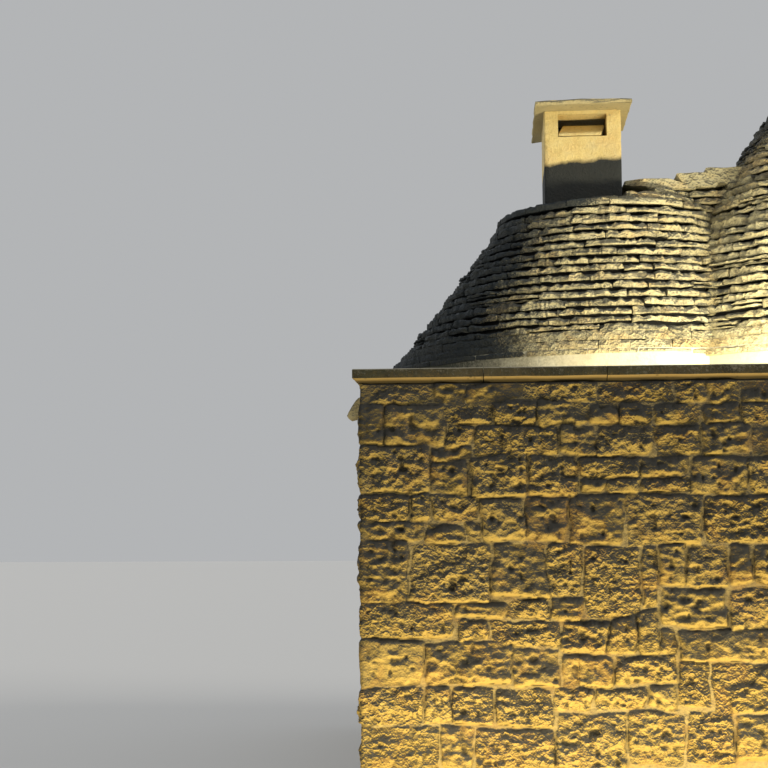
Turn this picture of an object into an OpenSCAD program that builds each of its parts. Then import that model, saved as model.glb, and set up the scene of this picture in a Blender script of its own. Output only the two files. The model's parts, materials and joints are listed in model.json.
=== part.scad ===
// Trullo house: dry-stone walls around one room and a hearth alcove, a bevelled
// cornice, a pointed main roof and a cut-off small roof that carries the chimney.
// The front faces -Y. Lengths are millimetres. The origin is on the ground, at the
// middle of the house's overall plan.

/* [Walls] */
// Length of the front wall, outside
house_w = 5540; // [5500:10:5700]
// Depth of the house from front to back, outside
house_d = 4400; // [4380:10:4480]
// Height of the walls up to the underside of the cornice
wall_h = 2395; // [2300:5:2600]
// Thickness of the outer walls
wall_t = 700; // [660:10:720]
// Thickness of the floor slabs inside
floor_t = 60; // [40:5:90]

/* [Hearth alcove] */
// Depth of the alcove behind the arch
alcove_d = 650; // [600:10:660]
// Clear width of the alcove and of its arch
alcove_w = 2000; // [1800:20:2000]
// Thickness of the arch and of its piers
arch_t = 500; // [460:10:520]
// Height at which the arch springs from its piers
spring_h = 1250; // [1100:10:1280]
// Height of the hearth slab above the ground
hearth_t = 110; // [80:5:200]

/* [Doorway] */
// Clear width of the doorway
door_w = 950; // [800:10:1100]
// Clear height of the doorway above the ground
door_h = 1950; // [1800:10:1980]
// Width of each dressed jamb stone on the face
jamb_w = 180; // [140:10:220]
// Depth of the jamb stones and of the lintel into the wall
jamb_d = 270; // [220:10:320]
// Height of the lintel
lintel_h = 220; // [180:10:240]
// How far the door surround stands proud of the wall
surround_out = 20; // [10:5:40]
// Height of the door sill
sill_h = 80; // [70:5:120]

/* [Cornice] */
// Full height of the cornice slabs
cornice_h = 85; // [70:5:110]
// Overhang of the cornice beyond the walls
cornice_out = 50; // [40:5:55]
// Height of the bevel under the cornice edge
cornice_bevel = 40; // [30:5:50]
// How far the cornice slabs run back over the wall
cornice_in = 350; // [300:10:400]

/* [Roof slope] */
// Inward run of the main roof for each unit of rise
main_k = 0.710; // [0.705:0.001:0.715]
// Inward run of the small roof for each unit of rise
small_k = 0.730; // [0.725:0.001:0.735]
// Height of the smooth band at the foot of the roofs
band_h = 180; // [160:5:190]
// Thickness of the roof slabs, measured level
slab_t = 160; // [140:5:180]

/* [Main roof] */
// Radius of the main roof at the top of its band
main_r = 1986; // [1970:2:1988]
// Radius of the band under the main roof
main_band_r = 1990; // [1988:2:2000]
// Radius of the room's dome at its foot
dome_r = 1500; // [1480:5:1510]
// Height of the main dome's opening above the band
dome_h = 1740; // [1700:10:1760]
// Height of the pointed roof above the band, under the pinnacle
main_h = 2600; // [2580:5:2620]

/* [Small roof] */
// Distance of the small roof's axis from the left wall face
small_x = 1540; // [1536:2:1560]
// Radius of the small roof at the top of its band
small_r = 1546; // [1536:2:1548]
// Radius of the band under the small roof
small_band_r = 1550; // [1548:1:1554]
// Radius of the smoke hood at its foot
hood_r = 840; // [820:5:850]
// Radius of the smoke hood at its top
hood_top_r = 500; // [496:2:520]
// Height of the smoke hood above the band
hood_h = 900; // [880:10:920]
// Height at which the small roof is cut off, above the band
small_h = 1040; // [1030:5:1050]

/* [Saddle] */
// Height of each of the saddle's three courses
course_h = 57; // [50:1:65]
// Half width of the saddle's lowest course
saddle_hw = 520; // [500:10:560]
// Inward step of each course
saddle_step = 60; // [50:5:65]

/* [Chimney] */
// Width of the chimney stack along the front
stack_w = 524; // [510:2:540]
// Depth of the chimney stack
stack_d = 600; // [580:10:640]
// Thickness of the stack's side walls
stack_t = 96; // [90:2:104]
// Thickness of the stack's front and back walls
stack_tf = 160; // [140:5:170]
// Height of the plain part of the stack
stack_h = 520; // [460:10:600]
// Height of the slotted head
head_h = 198; // [190:1:220]
// Height of the smoke slots
slot_h = 155; // [120:5:160]
// Thickness of the cap slab
cap_t = 38; // [34:2:60]

/* [Rain spout] */
// Width of the rain spout
spout_w = 160; // [140:10:180]
// Reach of the spout beyond the wall
spout_out = 165; // [150:5:200]
// Width of the channel in the spout
channel_w = 80; // [60:5:90]

/* [Pinnacle] */
// Radius of the ball on top
ball_r = 95; // [80:1:110]

/* [Hidden] */

$fn = 128;
e = 1;                                    // overrun of the cuts
gap = 2;                                  // mortar gap between curved faces

stone = [0.80, 0.74, 0.62];
dressed = [0.86, 0.82, 0.72];
slab = [0.63, 0.61, 0.56];
plaster = [0.88, 0.84, 0.74];
dark = [0.45, 0.44, 0.41];

cy = house_d / 2;
ox = (house_w + cornice_out - spout_out) / 2;
z_eaves = wall_h + cornice_h;
z_cone = z_eaves + band_h;

alcove_x1 = wall_t + alcove_d;            // room side of the alcove
room_x0 = alcove_x1 + arch_t;             // room side of the arch
room_x1 = house_w - wall_t;
main_x = (room_x0 + room_x1) / 2;
door_x0 = main_x - door_w / 2;
door_x1 = main_x + door_w / 2;

z_hood = z_cone + hood_h;
z_top = z_cone + small_h;
z_dome = z_cone + dome_h;
small_r_top = small_r - small_k * small_h;

stack_x0 = small_x - 458;
stack_x1 = stack_x0 + stack_w;
stack_y0 = cy - 435;
stack_y1 = stack_y0 + stack_d;
z_head = z_top + stack_h;
z_cap = z_head + head_h;

module at_origin() translate([-ox, -cy, 0]) children();

// Box between two corners
module block(a, b) translate(a) cube([b[0] - a[0], b[1] - a[1], b[2] - a[2]]);

// Solid of revolution tapering at a roof's slope k, from level z, rising h
module taper(x, r, z, h, k)
    translate([x, cy, z]) cylinder(h = h, r1 = r, r2 = r - k * h);

// Space taken by the main roof, with its band, for cutting what leans on it
module main_body() {
    translate([main_x, cy, z_eaves - e]) cylinder(h = band_h + e, r = main_band_r + gap);
    taper(main_x, main_r + gap, z_cone - e, 2400, main_k);
}

module surround_space() {
    block([door_x0 - jamb_w, -surround_out - e, -e], [door_x0 + e, jamb_d, door_h + lintel_h]);
    block([door_x1 - e, -surround_out - e, -e], [door_x1 + jamb_w, jamb_d, door_h + lintel_h]);
    block([door_x0 - jamb_w, -surround_out - e, door_h], [door_x1 + jamb_w, jamb_d, door_h + lintel_h]);
}

module front_wall_left() color(stone) at_origin() difference() {
    block([0, 0, 0], [door_x0, wall_t, wall_h]);
    surround_space();
}

module front_wall_right() color(stone) at_origin() difference() {
    block([door_x1, 0, 0], [house_w, wall_t, wall_h]);
    surround_space();
}

module front_wall_over_door() color(stone) at_origin() difference() {
    block([door_x0, 0, door_h], [door_x1, wall_t, wall_h]);
    surround_space();
}

module back_wall() color(stone) at_origin()
    block([0, house_d - wall_t, 0], [house_w, house_d, wall_h]);

module left_wall() color(stone) at_origin() difference() {
    block([0, wall_t, 0], [wall_t, house_d - wall_t, wall_h]);
    spout_space();
}

module right_wall() color(stone) at_origin()
    block([room_x1, wall_t, 0], [house_w, house_d - wall_t, wall_h]);

module alcove_front_block() color(stone) at_origin()
    block([wall_t, wall_t, 0], [alcove_x1, cy - alcove_w / 2, wall_h]);

module alcove_back_block() color(stone) at_origin()
    block([wall_t, cy + alcove_w / 2, 0], [alcove_x1, house_d - wall_t, wall_h]);

module arch_pier_front() color(stone) at_origin()
    block([alcove_x1, wall_t, 0], [room_x0, cy - alcove_w / 2, spring_h]);

module arch_pier_back() color(stone) at_origin()
    block([alcove_x1, cy + alcove_w / 2, 0], [room_x0, house_d - wall_t, spring_h]);

module hearth_arch() color(stone) at_origin() difference() {
    block([alcove_x1, wall_t, spring_h], [room_x0, house_d - wall_t, wall_h]);
    translate([alcove_x1 - e, cy, spring_h]) rotate([0, 90, 0])
        cylinder(h = arch_t + 2 * e, r = alcove_w / 2);
}

module door_jamb(x) block([x, -surround_out, 0], [x + jamb_w, jamb_d, door_h]);

module door_jamb_left() color(dressed) at_origin() door_jamb(door_x0 - jamb_w);

module door_jamb_right() color(dressed) at_origin() door_jamb(door_x1);

module door_lintel() color(dressed) at_origin()
    block([door_x0 - jamb_w, -surround_out, door_h], [door_x1 + jamb_w, jamb_d, door_h + lintel_h]);

module door_sill() color(dressed) at_origin()
    block([door_x0, 0, 0], [door_x1, wall_t, sill_h]);

module room_floor() color(dressed) at_origin() {
    translate([0, 0, 0]) linear_extrude(floor_t) polygon([
        [room_x0, wall_t], [room_x1, wall_t], [room_x1, house_d - wall_t],
        [room_x0, house_d - wall_t], [room_x0, cy + alcove_w / 2],
        [alcove_x1, cy + alcove_w / 2], [alcove_x1, cy - alcove_w / 2],
        [room_x0, cy - alcove_w / 2]]);
}

module hearth_slab() color(slab) at_origin()
    block([wall_t, cy - alcove_w / 2, 0], [alcove_x1, cy + alcove_w / 2, hearth_t]);

// Bevelled edge of one cornice direction, for a wall of length l
function cornice_outline(l) = [[0, 0], [-cornice_out, cornice_bevel],
    [-cornice_out, cornice_h], [l + cornice_out, cornice_h],
    [l + cornice_out, cornice_bevel], [l, 0]];

module cornice_plate() translate([0, 0, wall_h]) intersection() {
    translate([0, house_d + 200, 0]) rotate([90, 0, 0])
        linear_extrude(house_d + 400) polygon(cornice_outline(house_w));
    translate([-200, 0, 0]) rotate([90, 0, 90])
        linear_extrude(house_w + 400) polygon(cornice_outline(house_d));
}

module cornice_part(a, b) color(dressed) at_origin() intersection() {
    cornice_plate();
    block([a[0], a[1], wall_h - 100], [b[0], b[1], z_eaves + 100]);
}

module cornice_front() cornice_part([-200, -200], [house_w + 200, cornice_in]);

module cornice_back() cornice_part([-200, house_d - cornice_in], [house_w + 200, house_d + 200]);

module cornice_left() cornice_part([-200, cornice_in], [cornice_in, house_d - cornice_in]);

module cornice_right() cornice_part([house_w - cornice_in, cornice_in],
    [house_w + 200, house_d - cornice_in]);

// Level bed of slabs under the roofs, bridging the corners of the room
module roof_bed_main() color(dressed) at_origin() difference() {
    block([alcove_x1, cornice_in, wall_h], [house_w - cornice_in, house_d - cornice_in, z_eaves]);
    translate([main_x, cy, wall_h - e]) cylinder(h = cornice_h + 2 * e, r = dome_r - 10);
}

module roof_bed_alcove() color(dressed) at_origin() difference() {
    block([cornice_in, cornice_in, wall_h], [alcove_x1, house_d - cornice_in, z_eaves]);
    block([wall_t, cy - hood_r, wall_h - e], [alcove_x1 + e, cy + hood_r, z_eaves + e]);
}

module main_roof_band() color(plaster) at_origin() difference() {
    translate([main_x, cy, z_eaves]) cylinder(h = band_h, r = main_band_r);
    translate([main_x, cy, z_eaves - e]) cylinder(h = band_h + 2 * e, r = dome_r);
}

module small_roof_band() color(plaster) at_origin() difference() {
    translate([small_x, cy, z_eaves]) cylinder(h = band_h, r = small_band_r);
    translate([small_x, cy, z_eaves - e]) cylinder(h = band_h + 2 * e, r = hood_r);
    translate([main_x, cy, z_eaves - e]) cylinder(h = band_h + 2 * e, r = main_band_r + gap);
}

// Corbelled inner dome over the room
module main_dome() color(stone) at_origin() difference() {
    taper(main_x, main_r - slab_t - gap, z_cone, dome_h, main_k);
    taper(main_x, dome_r + main_k * e, z_cone - e, dome_h + 2 * e, main_k);
}

module dome_capstone() color(dressed) at_origin()
    translate([main_x, cy, z_dome]) cylinder(h = 80, r = main_r - slab_t - gap - main_k * (dome_h + 80) - 4);

// Ring of roof slabs between two heights above the band
module slab_ring(x, r, h0, h1, k) difference() {
    taper(x, r - k * h0, z_cone + h0, h1 - h0, k);
    taper(x, r - slab_t - k * (h0 - e), z_cone + h0 - e, h1 - h0 + 2 * e, k);
}

module main_roof_lower() color(slab) at_origin() slab_ring(main_x, main_r, 0, 900, main_k);

module main_roof_upper() color(slab) at_origin() slab_ring(main_x, main_r, 900, dome_h + 80, main_k);

module main_roof_tip() color(slab) at_origin()
    taper(main_x, main_r - main_k * (dome_h + 80), z_dome + 80, main_h - dome_h - 80, main_k);

module pinnacle() color(dressed) at_origin() translate([main_x, cy, z_cone + main_h]) {
    cylinder(h = 150, r1 = main_r - main_k * main_h - 2, r2 = 78);
    translate([0, 0, 149]) cylinder(h = 41, r = 140);
    translate([0, 0, 189]) cylinder(h = 60, r = 52);
    translate([0, 0, 225 + ball_r]) sphere(r = ball_r);
}

// Hollow hood that gathers the smoke over the hearth
module smoke_hood() color(stone) at_origin() difference() {
    taper(small_x, small_r - slab_t - gap, z_cone, hood_h, small_k);
    translate([small_x, cy, z_cone - e]) cylinder(h = hood_h + 2 * e,
        r1 = hood_r + e * (hood_r - hood_top_r) / hood_h,
        r2 = hood_top_r - e * (hood_r - hood_top_r) / hood_h);
    main_body();
}

module flue_space(z0, z1)
    block([stack_x0 + stack_t, stack_y0 + stack_tf, z0], [stack_x1 - stack_t, stack_y1 - stack_tf, z1]);

module flue_slab() color(dressed) at_origin() difference() {
    taper(small_x, small_r - slab_t - gap - small_k * hood_h, z_hood, small_h - hood_h, small_k);
    flue_space(z_hood - e, z_top + e);
    main_body();
}

module small_roof() color(slab) at_origin() difference() {
    slab_ring(small_x, small_r, 0, small_h, small_k);
    main_body();
}

// Low crown of the cut-off roof around the chimney's foot
module small_roof_top() color(dark) at_origin() difference() {
    translate([small_x, cy, z_top]) rotate_extrude() polygon([[0, 0],
        [small_r_top, 0], [small_r_top - 40, 45], [small_r_top - 120, 70], [0, 95]]);
    block([stack_x0, stack_y0, z_top - e], [stack_x1, stack_y1, z_top + 200]);
    block([stack_x1, cy - 900, z_top - e], [stack_x1 + 1000, cy + 900, z_top + 200]);
}

// Courses that bridge the two roofs, stepping in as they rise
module saddle_courses() color(slab) at_origin() difference() {
    for (i = [0 : 2]) translate([0, 0, z_top + i * course_h]) intersection() {
        translate([stack_x1, cy - 900, 0]) cube([1100, 1800, course_h + (i < 2 ? e : 0)]);
        union() {
            translate([small_x, cy, 0]) cylinder(h = course_h + 5, r = small_r_top - 28 - i * 80);
            translate([stack_x1 - 50, cy - saddle_hw + i * saddle_step, 0])
                cube([1100, 2 * (saddle_hw - i * saddle_step), course_h + 5]);
        }
    }
    main_body();
}

// Capping slabs along the saddle, climbing towards the main roof
module saddle_ridge_slabs() color(dressed) at_origin() difference() {
    union() for (s = [[stack_x1 + 40, 330, 79, 390], [stack_x1 + 354, 230, 102, 378],
            [stack_x1 + 544, 330, 139, 368]])
        block([s[0], cy - s[3], z_top + 3 * course_h],
            [s[0] + s[1], cy + s[3], z_top + 3 * course_h + s[2]]);
    main_body();
}

module stack_tube(z0, z1) difference() {
    block([stack_x0, stack_y0, z0], [stack_x1, stack_y1, z1]);
    flue_space(z0 - e, z1 + e);
}

module chimney_stack() color(plaster) at_origin() stack_tube(z_top, z_head);

module chimney_head() color(plaster) at_origin() difference() {
    stack_tube(z_head, z_cap);
    translate([stack_x0 + stack_t + 2, stack_y0 - e, z_head + 20])
        cube([stack_w - 2 * stack_t - 4, stack_d + 2 * e, slot_h]);
}

// One rough slab, deeper on the left than on the right
module chimney_cap() color(dressed) at_origin()
    translate([0, 0, z_cap]) linear_extrude(cap_t) polygon([
        [stack_x0 - 64, stack_y0 - 160], [stack_x1 + 66, stack_y0 - 175],
        [stack_x1 + 62, stack_y1 - 25], [stack_x0 - 68, stack_y1 + 275]]);

// Outline of the spout in the plane of its length and height
spout_shape = [[400, wall_h - 143], [-spout_out + 30, wall_h - 143],
    [-spout_out, wall_h - 110], [-spout_out + 85, wall_h - 3], [400, wall_h - 3]];
spout_y = wall_t + 20;

module spout_bar(w) translate([0, spout_y + spout_w / 2 + w / 2, 0]) rotate([90, 0, 0])
    linear_extrude(w) polygon(spout_shape);

module spout_space() block([-e, spout_y, wall_h - 143], [400, spout_y + spout_w, wall_h + e]);

module rain_spout() color(dressed) at_origin() difference() {
    spout_bar(spout_w);
    translate([-spout_out - e, spout_y + spout_w / 2 - channel_w / 2, wall_h - 73])
        cube([spout_out + 350, channel_w, 100]);
}

front_wall_left();
front_wall_right();
front_wall_over_door();
back_wall();
left_wall();
right_wall();
alcove_front_block();
alcove_back_block();
arch_pier_front();
arch_pier_back();
hearth_arch();
door_jamb_left();
door_jamb_right();
door_lintel();
door_sill();
room_floor();
hearth_slab();
cornice_front();
cornice_back();
cornice_left();
cornice_right();
roof_bed_main();
roof_bed_alcove();
main_roof_band();
small_roof_band();
main_dome();
dome_capstone();
main_roof_lower();
main_roof_upper();
main_roof_tip();
pinnacle();
smoke_hood();
flue_slab();
small_roof();
small_roof_top();
saddle_courses();
saddle_ridge_slabs();
chimney_stack();
chimney_head();
chimney_cap();
rain_spout();
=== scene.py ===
import json
import math

import bpy
import numpy as np
from mathutils import Matrix, Vector

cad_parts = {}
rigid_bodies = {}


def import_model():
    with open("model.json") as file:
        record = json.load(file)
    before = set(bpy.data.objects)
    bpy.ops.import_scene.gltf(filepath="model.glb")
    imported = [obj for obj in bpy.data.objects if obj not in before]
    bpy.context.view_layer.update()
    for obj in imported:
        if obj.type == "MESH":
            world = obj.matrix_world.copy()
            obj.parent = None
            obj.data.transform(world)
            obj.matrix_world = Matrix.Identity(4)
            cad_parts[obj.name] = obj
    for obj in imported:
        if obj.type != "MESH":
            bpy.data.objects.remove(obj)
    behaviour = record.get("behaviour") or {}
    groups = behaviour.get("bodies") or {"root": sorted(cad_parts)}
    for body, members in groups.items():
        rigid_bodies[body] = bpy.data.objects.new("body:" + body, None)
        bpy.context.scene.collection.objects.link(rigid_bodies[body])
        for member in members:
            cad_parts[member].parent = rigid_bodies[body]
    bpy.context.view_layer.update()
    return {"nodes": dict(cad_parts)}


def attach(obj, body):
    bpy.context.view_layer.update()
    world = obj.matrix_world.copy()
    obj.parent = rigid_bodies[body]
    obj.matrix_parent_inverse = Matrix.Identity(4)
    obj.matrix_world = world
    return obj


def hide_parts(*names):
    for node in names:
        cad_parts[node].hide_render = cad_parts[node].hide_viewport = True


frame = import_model()

# House coordinates: x from the left wall's face, y from the front wall's face, z from the ground, metres.
OX, OY = 2.7125, 2.2
W, D, WALL_H = 5.54, 4.40, 2.395
Z_EAVES, Z_CONE = 2.480, 2.660
CY = 2.2
MAIN_X, MAIN_R, MAIN_K, MAIN_BAND = 3.345, 1.986, 0.710, 1.990
SMALL_X, SMALL_R, SMALL_K, SMALL_BAND = 1.540, 1.546, 0.730, 1.550
Z_TOP = 3.700


# ---------------------------------------------------------------- noise
def _hash(ix, iy, iz, seed):
    h = (ix.astype(np.uint32) * np.uint32(374761393) + iy.astype(np.uint32) * np.uint32(668265263)
         + iz.astype(np.uint32) * np.uint32(2147483647) + np.uint32(seed * 1013904223 & 0xFFFFFFFF))
    h = (h ^ (h >> np.uint32(13))) * np.uint32(1274126177)
    h = h ^ (h >> np.uint32(16))
    h = h * np.uint32(2246822519)
    h = h ^ (h >> np.uint32(15))
    return h.astype(np.float64) / 4294967295.0 * 2.0 - 1.0


def vnoise(x, y, z, cell, seed=0):
    """Smooth value noise, -1 to 1, with features about cell metres across."""
    x, y, z = np.broadcast_arrays(np.asarray(x, float), np.asarray(y, float), np.asarray(z, float))
    x, y, z = x / cell + 1000.0, y / cell + 1000.0, z / cell + 1000.0
    ix, iy, iz = np.floor(x).astype(np.int64), np.floor(y).astype(np.int64), np.floor(z).astype(np.int64)
    fx, fy, fz = x - ix, y - iy, z - iz
    fx, fy, fz = (f * f * (3 - 2 * f) for f in (fx, fy, fz))
    out = 0.0
    with np.errstate(over="ignore"):
        for dx in (0, 1):
            for dy in (0, 1):
                for dz in (0, 1):
                    w = (fx if dx else 1 - fx) * (fy if dy else 1 - fy) * (fz if dz else 1 - fz)
                    out = out + w * _hash(ix + dx, iy + dy, iz + dz, seed)
    return out


def fbm(x, y, z, cell, octaves=3, seed=0, gain=0.5):
    total, amp, norm = 0.0, 1.0, 0.0
    for i in range(octaves):
        total = total + amp * vnoise(x, y, z, cell / 2 ** i, seed + 17 * i)
        norm += amp
        amp *= gain
    return total / norm


# ---------------------------------------------------------------- meshes
class Build:
    """Collects closed solids into one mesh, in house coordinates, with a tint and a shade for each point."""

    def __init__(self):
        self.v, self.f, self.a, self.n = [], [], [], 0

    def add(self, verts, faces, tint, cavity_shade=0.0, joint=0.0, chip=1.0):
        verts = np.asarray(verts, float).reshape(-1, 3)
        m = len(verts)
        self.v.append(verts)
        self.a.append(np.stack([np.broadcast_to(tint, m), np.broadcast_to(joint, m),
                                np.broadcast_to(cavity_shade, m), np.broadcast_to(chip, m)], 1))
        n = self.n
        self.f.extend([[i + n for i in f] for f in faces])
        self.n += m

    def object(self, name, material, replaces=(), smooth=False, angle=None):
        co = np.concatenate(self.v) - np.array([OX, OY, 0.0])
        mesh = bpy.data.meshes.new(name)
        mesh.from_pydata(co.tolist(), [], self.f)
        mesh.update()
        layer = mesh.color_attributes.new("stone", "FLOAT_COLOR", "POINT")
        layer.data.foreach_set("color", np.concatenate(self.a).astype(np.float32).ravel())
        if smooth:
            mesh.polygons.foreach_set("use_smooth", [True] * len(mesh.polygons))
        mesh.materials.append(material)
        ob = bpy.data.objects.new(name, mesh)
        bpy.context.scene.collection.objects.link(ob)
        if angle is not None:
            mesh.polygons.foreach_set("use_smooth", [True] * len(mesh.polygons))
            mesh.set_sharp_from_angle(angle=math.radians(angle))
        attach(ob, "root")
        if replaces:
            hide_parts(*replaces)
        return ob


def lattice(nx, ny, nz):
    """Index grid of a box's surface: points (i, j, k) and quads, each point once."""
    index, pts, quads = {}, [], []

    def p(i, j, k):
        key = (i, j, k)
        if key not in index:
            index[key] = len(pts)
            pts.append(key)
        return index[key]

    for i in range(nx):
        for j in range(ny):
            quads.append((p(i, j, 0), p(i, j + 1, 0), p(i + 1, j + 1, 0), p(i + 1, j, 0)))
            quads.append((p(i, j, nz), p(i + 1, j, nz), p(i + 1, j + 1, nz), p(i, j + 1, nz)))
    for i in range(nx):
        for k in range(nz):
            quads.append((p(i, 0, k), p(i + 1, 0, k), p(i + 1, 0, k + 1), p(i, 0, k + 1)))
            quads.append((p(i, ny, k), p(i, ny, k + 1), p(i + 1, ny, k + 1), p(i + 1, ny, k)))
    for j in range(ny):
        for k in range(nz):
            quads.append((p(0, j, k), p(0, j, k + 1), p(0, j + 1, k + 1), p(0, j + 1, k)))
            quads.append((p(nx, j, k), p(nx, j + 1, k), p(nx, j + 1, k + 1), p(nx, j, k + 1)))
    return np.array(pts), quads


def stops(length, cell, edge):
    """Positions 0 to length with a narrow strip at each end, for a soft arris."""
    n = max(2, int(round((length - 2 * edge) / cell)))
    return np.concatenate([[0.0], np.linspace(edge, length - edge, n + 1), [length]])


def rough_box(x0, x1, y0, y1, z0, z1, cell=0.05, edge=0.012, wear=0.006, rough=0.003, seed=0, keep_bottom=False):
    """A block of stone with worn arrises and an uneven surface, no larger than its box."""
    sx, sy, sz = (stops(b - a, cell, min(edge, (b - a) * 0.3)) for a, b in ((x0, x1), (y0, y1), (z0, z1)))
    pts, quads = lattice(len(sx) - 1, len(sy) - 1, len(sz) - 1)
    co = np.stack([x0 + sx[pts[:, 0]], y0 + sy[pts[:, 1]], z0 + sz[pts[:, 2]]], 1)
    mid = np.array([(x0 + x1) / 2, (y0 + y1) / 2, (z0 + z1) / 2])
    ext = np.stack([(pts[:, 0] == 0) | (pts[:, 0] == len(sx) - 1), (pts[:, 1] == 0) | (pts[:, 1] == len(sy) - 1),
                    (pts[:, 2] == 0) | (pts[:, 2] == len(sz) - 1)], 1)
    if keep_bottom:
        ext[:, 2] &= pts[:, 2] != 0
    count = ext.sum(1)
    chip = wear * (1.0 + 0.8 * vnoise(co[:, 0], co[:, 1], co[:, 2], 0.07, seed)) \
        + 1.2 * wear * np.clip(vnoise(co[:, 0], co[:, 1], co[:, 2], 0.16, seed + 3) - 0.35, 0, 1)
    pull = np.where(count >= 2, chip, 0.0)
    side = np.sign(mid - co)
    for a in range(3):
        lump = rough * (1 + fbm(co[:, 0], co[:, 1], co[:, 2], 0.12, 3, seed + 31 + a))
        co[:, a] += np.where(ext[:, a], side[:, a] * (pull + lump), 0.0)
    return co, quads


# ---------------------------------------------------------------- materials
def nodes_of(name):
    m = bpy.data.materials.new(name)
    m.use_nodes = True
    nt = m.node_tree
    nt.nodes.clear()
    out = nt.nodes.new("ShaderNodeOutputMaterial")
    b = nt.nodes.new("ShaderNodeBsdfPrincipled")
    nt.links.new(b.outputs[0], out.inputs[0])
    return m, nt, b


class Shade:
    """Short names for making shader nodes."""

    def __init__(self, nt):
        self.nt = nt
        self.pos = nt.nodes.new("ShaderNodeTexCoord").outputs["Object"]

    def link(self, a, b):
        self.nt.links.new(a, b)

    def set(self, sock, v):
        if hasattr(v, "is_output"):
            self.link(v, sock)
        else:
            sock.default_value = v

    def noise(self, scale, detail=4, rough=0.55, stretch=None, distort=0.0):
        n = self.nt.nodes.new("ShaderNodeTexNoise")
        n.inputs["Scale"].default_value = scale
        n.inputs["Detail"].default_value = detail
        n.inputs["Roughness"].default_value = rough
        n.inputs["Distortion"].default_value = distort
        if stretch:
            mp = self.nt.nodes.new("ShaderNodeMapping")
            mp.inputs["Scale"].default_value = stretch
            self.link(self.pos, mp.inputs["Vector"])
            self.link(mp.outputs[0], n.inputs["Vector"])
        else:
            self.link(self.pos, n.inputs["Vector"])
        return n.outputs["Fac"]

    def cells(self, scale, feature="F1", at=None):
        n = self.nt.nodes.new("ShaderNodeTexVoronoi")
        n.feature = feature
        n.inputs["Scale"].default_value = scale
        self.link(at if at is not None else self.pos, n.inputs["Vector"])
        return n.outputs["Distance"]

    def shaken(self, scale, amount, lift=0.0):
        """Position moved about by noise, so that cells get broken outlines; lift looks that far above."""
        if lift:
            at = self.nt.nodes.new("ShaderNodeVectorMath")
            at.operation = "ADD"
            self.link(self.pos, at.inputs[0])
            at.inputs[1].default_value = (0.0, 0.0, lift)
            at = at.outputs[0]
        else:
            at = self.pos
        n = self.nt.nodes.new("ShaderNodeTexNoise")
        n.inputs["Scale"].default_value = scale
        n.inputs["Detail"].default_value = 2
        self.link(at, n.inputs["Vector"])
        v = self.nt.nodes.new("ShaderNodeVectorMath")
        v.operation = "MULTIPLY_ADD"
        self.link(n.outputs["Color"], v.inputs[0])
        v.inputs[1].default_value = (amount, amount, amount * 0.8)
        self.link(at, v.inputs[2])
        return v.outputs[0]

    def ramp(self, fac, stops_):
        n = self.nt.nodes.new("ShaderNodeValToRGB")
        e = n.color_ramp.elements
        while len(e) > 1:
            e.remove(e[0])
        e[0].position = stops_[0][0]
        e[0].color = (*stops_[0][1], 1) if not isinstance(stops_[0][1], float) else (stops_[0][1],) * 3 + (1,)
        for p, c in stops_[1:]:
            el = e.new(p)
            el.color = (*c, 1) if not isinstance(c, float) else (c,) * 3 + (1,)
        self.set(n.inputs[0], fac)
        return n.outputs[0]

    def mix(self, fac, a, b, mode="MIX"):
        n = self.nt.nodes.new("ShaderNodeMix")
        n.data_type = "RGBA"
        n.blend_type = mode
        self.set(n.inputs[0], fac)
        self.set(n.inputs[6], a if hasattr(a, "is_output") else (*a, 1))
        self.set(n.inputs[7], b if hasattr(b, "is_output") else (*b, 1))
        return n.outputs[2]

    def math(self, op, a, b=0.0, c=0.0):
        n = self.nt.nodes.new("ShaderNodeMath")
        n.operation = op
        self.set(n.inputs[0], a)
        self.set(n.inputs[1], b)
        self.set(n.inputs[2], c)
        return n.outputs[0]

    def attribute(self, name):
        n = self.nt.nodes.new("ShaderNodeAttribute")
        n.attribute_name = name
        s = self.nt.nodes.new("ShaderNodeSeparateColor")
        self.link(n.outputs["Color"], s.inputs[0])
        return s.outputs[0], s.outputs[1], s.outputs[2], n.outputs["Alpha"]

    def up(self):
        g = self.nt.nodes.new("ShaderNodeNewGeometry")
        s = self.nt.nodes.new("ShaderNodeSeparateXYZ")
        self.link(g.outputs["Normal"], s.inputs[0])
        return s.outputs[2]

    def height(self):
        n = self.nt.nodes.new("ShaderNodeSeparateXYZ")
        self.link(self.pos, n.inputs[0])
        return n.outputs[2]

    def along(self):
        n = self.nt.nodes.new("ShaderNodeSeparateXYZ")
        self.link(self.pos, n.inputs[0])
        return n.outputs[0]

    def bump(self, bsdf, height, strength, distance):
        n = self.nt.nodes.new("ShaderNodeBump")
        n.inputs["Strength"].default_value = strength
        n.inputs["Distance"].default_value = distance
        self.link(height, n.inputs["Height"])
        self.link(n.outputs[0], bsdf.inputs["Normal"])


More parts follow.
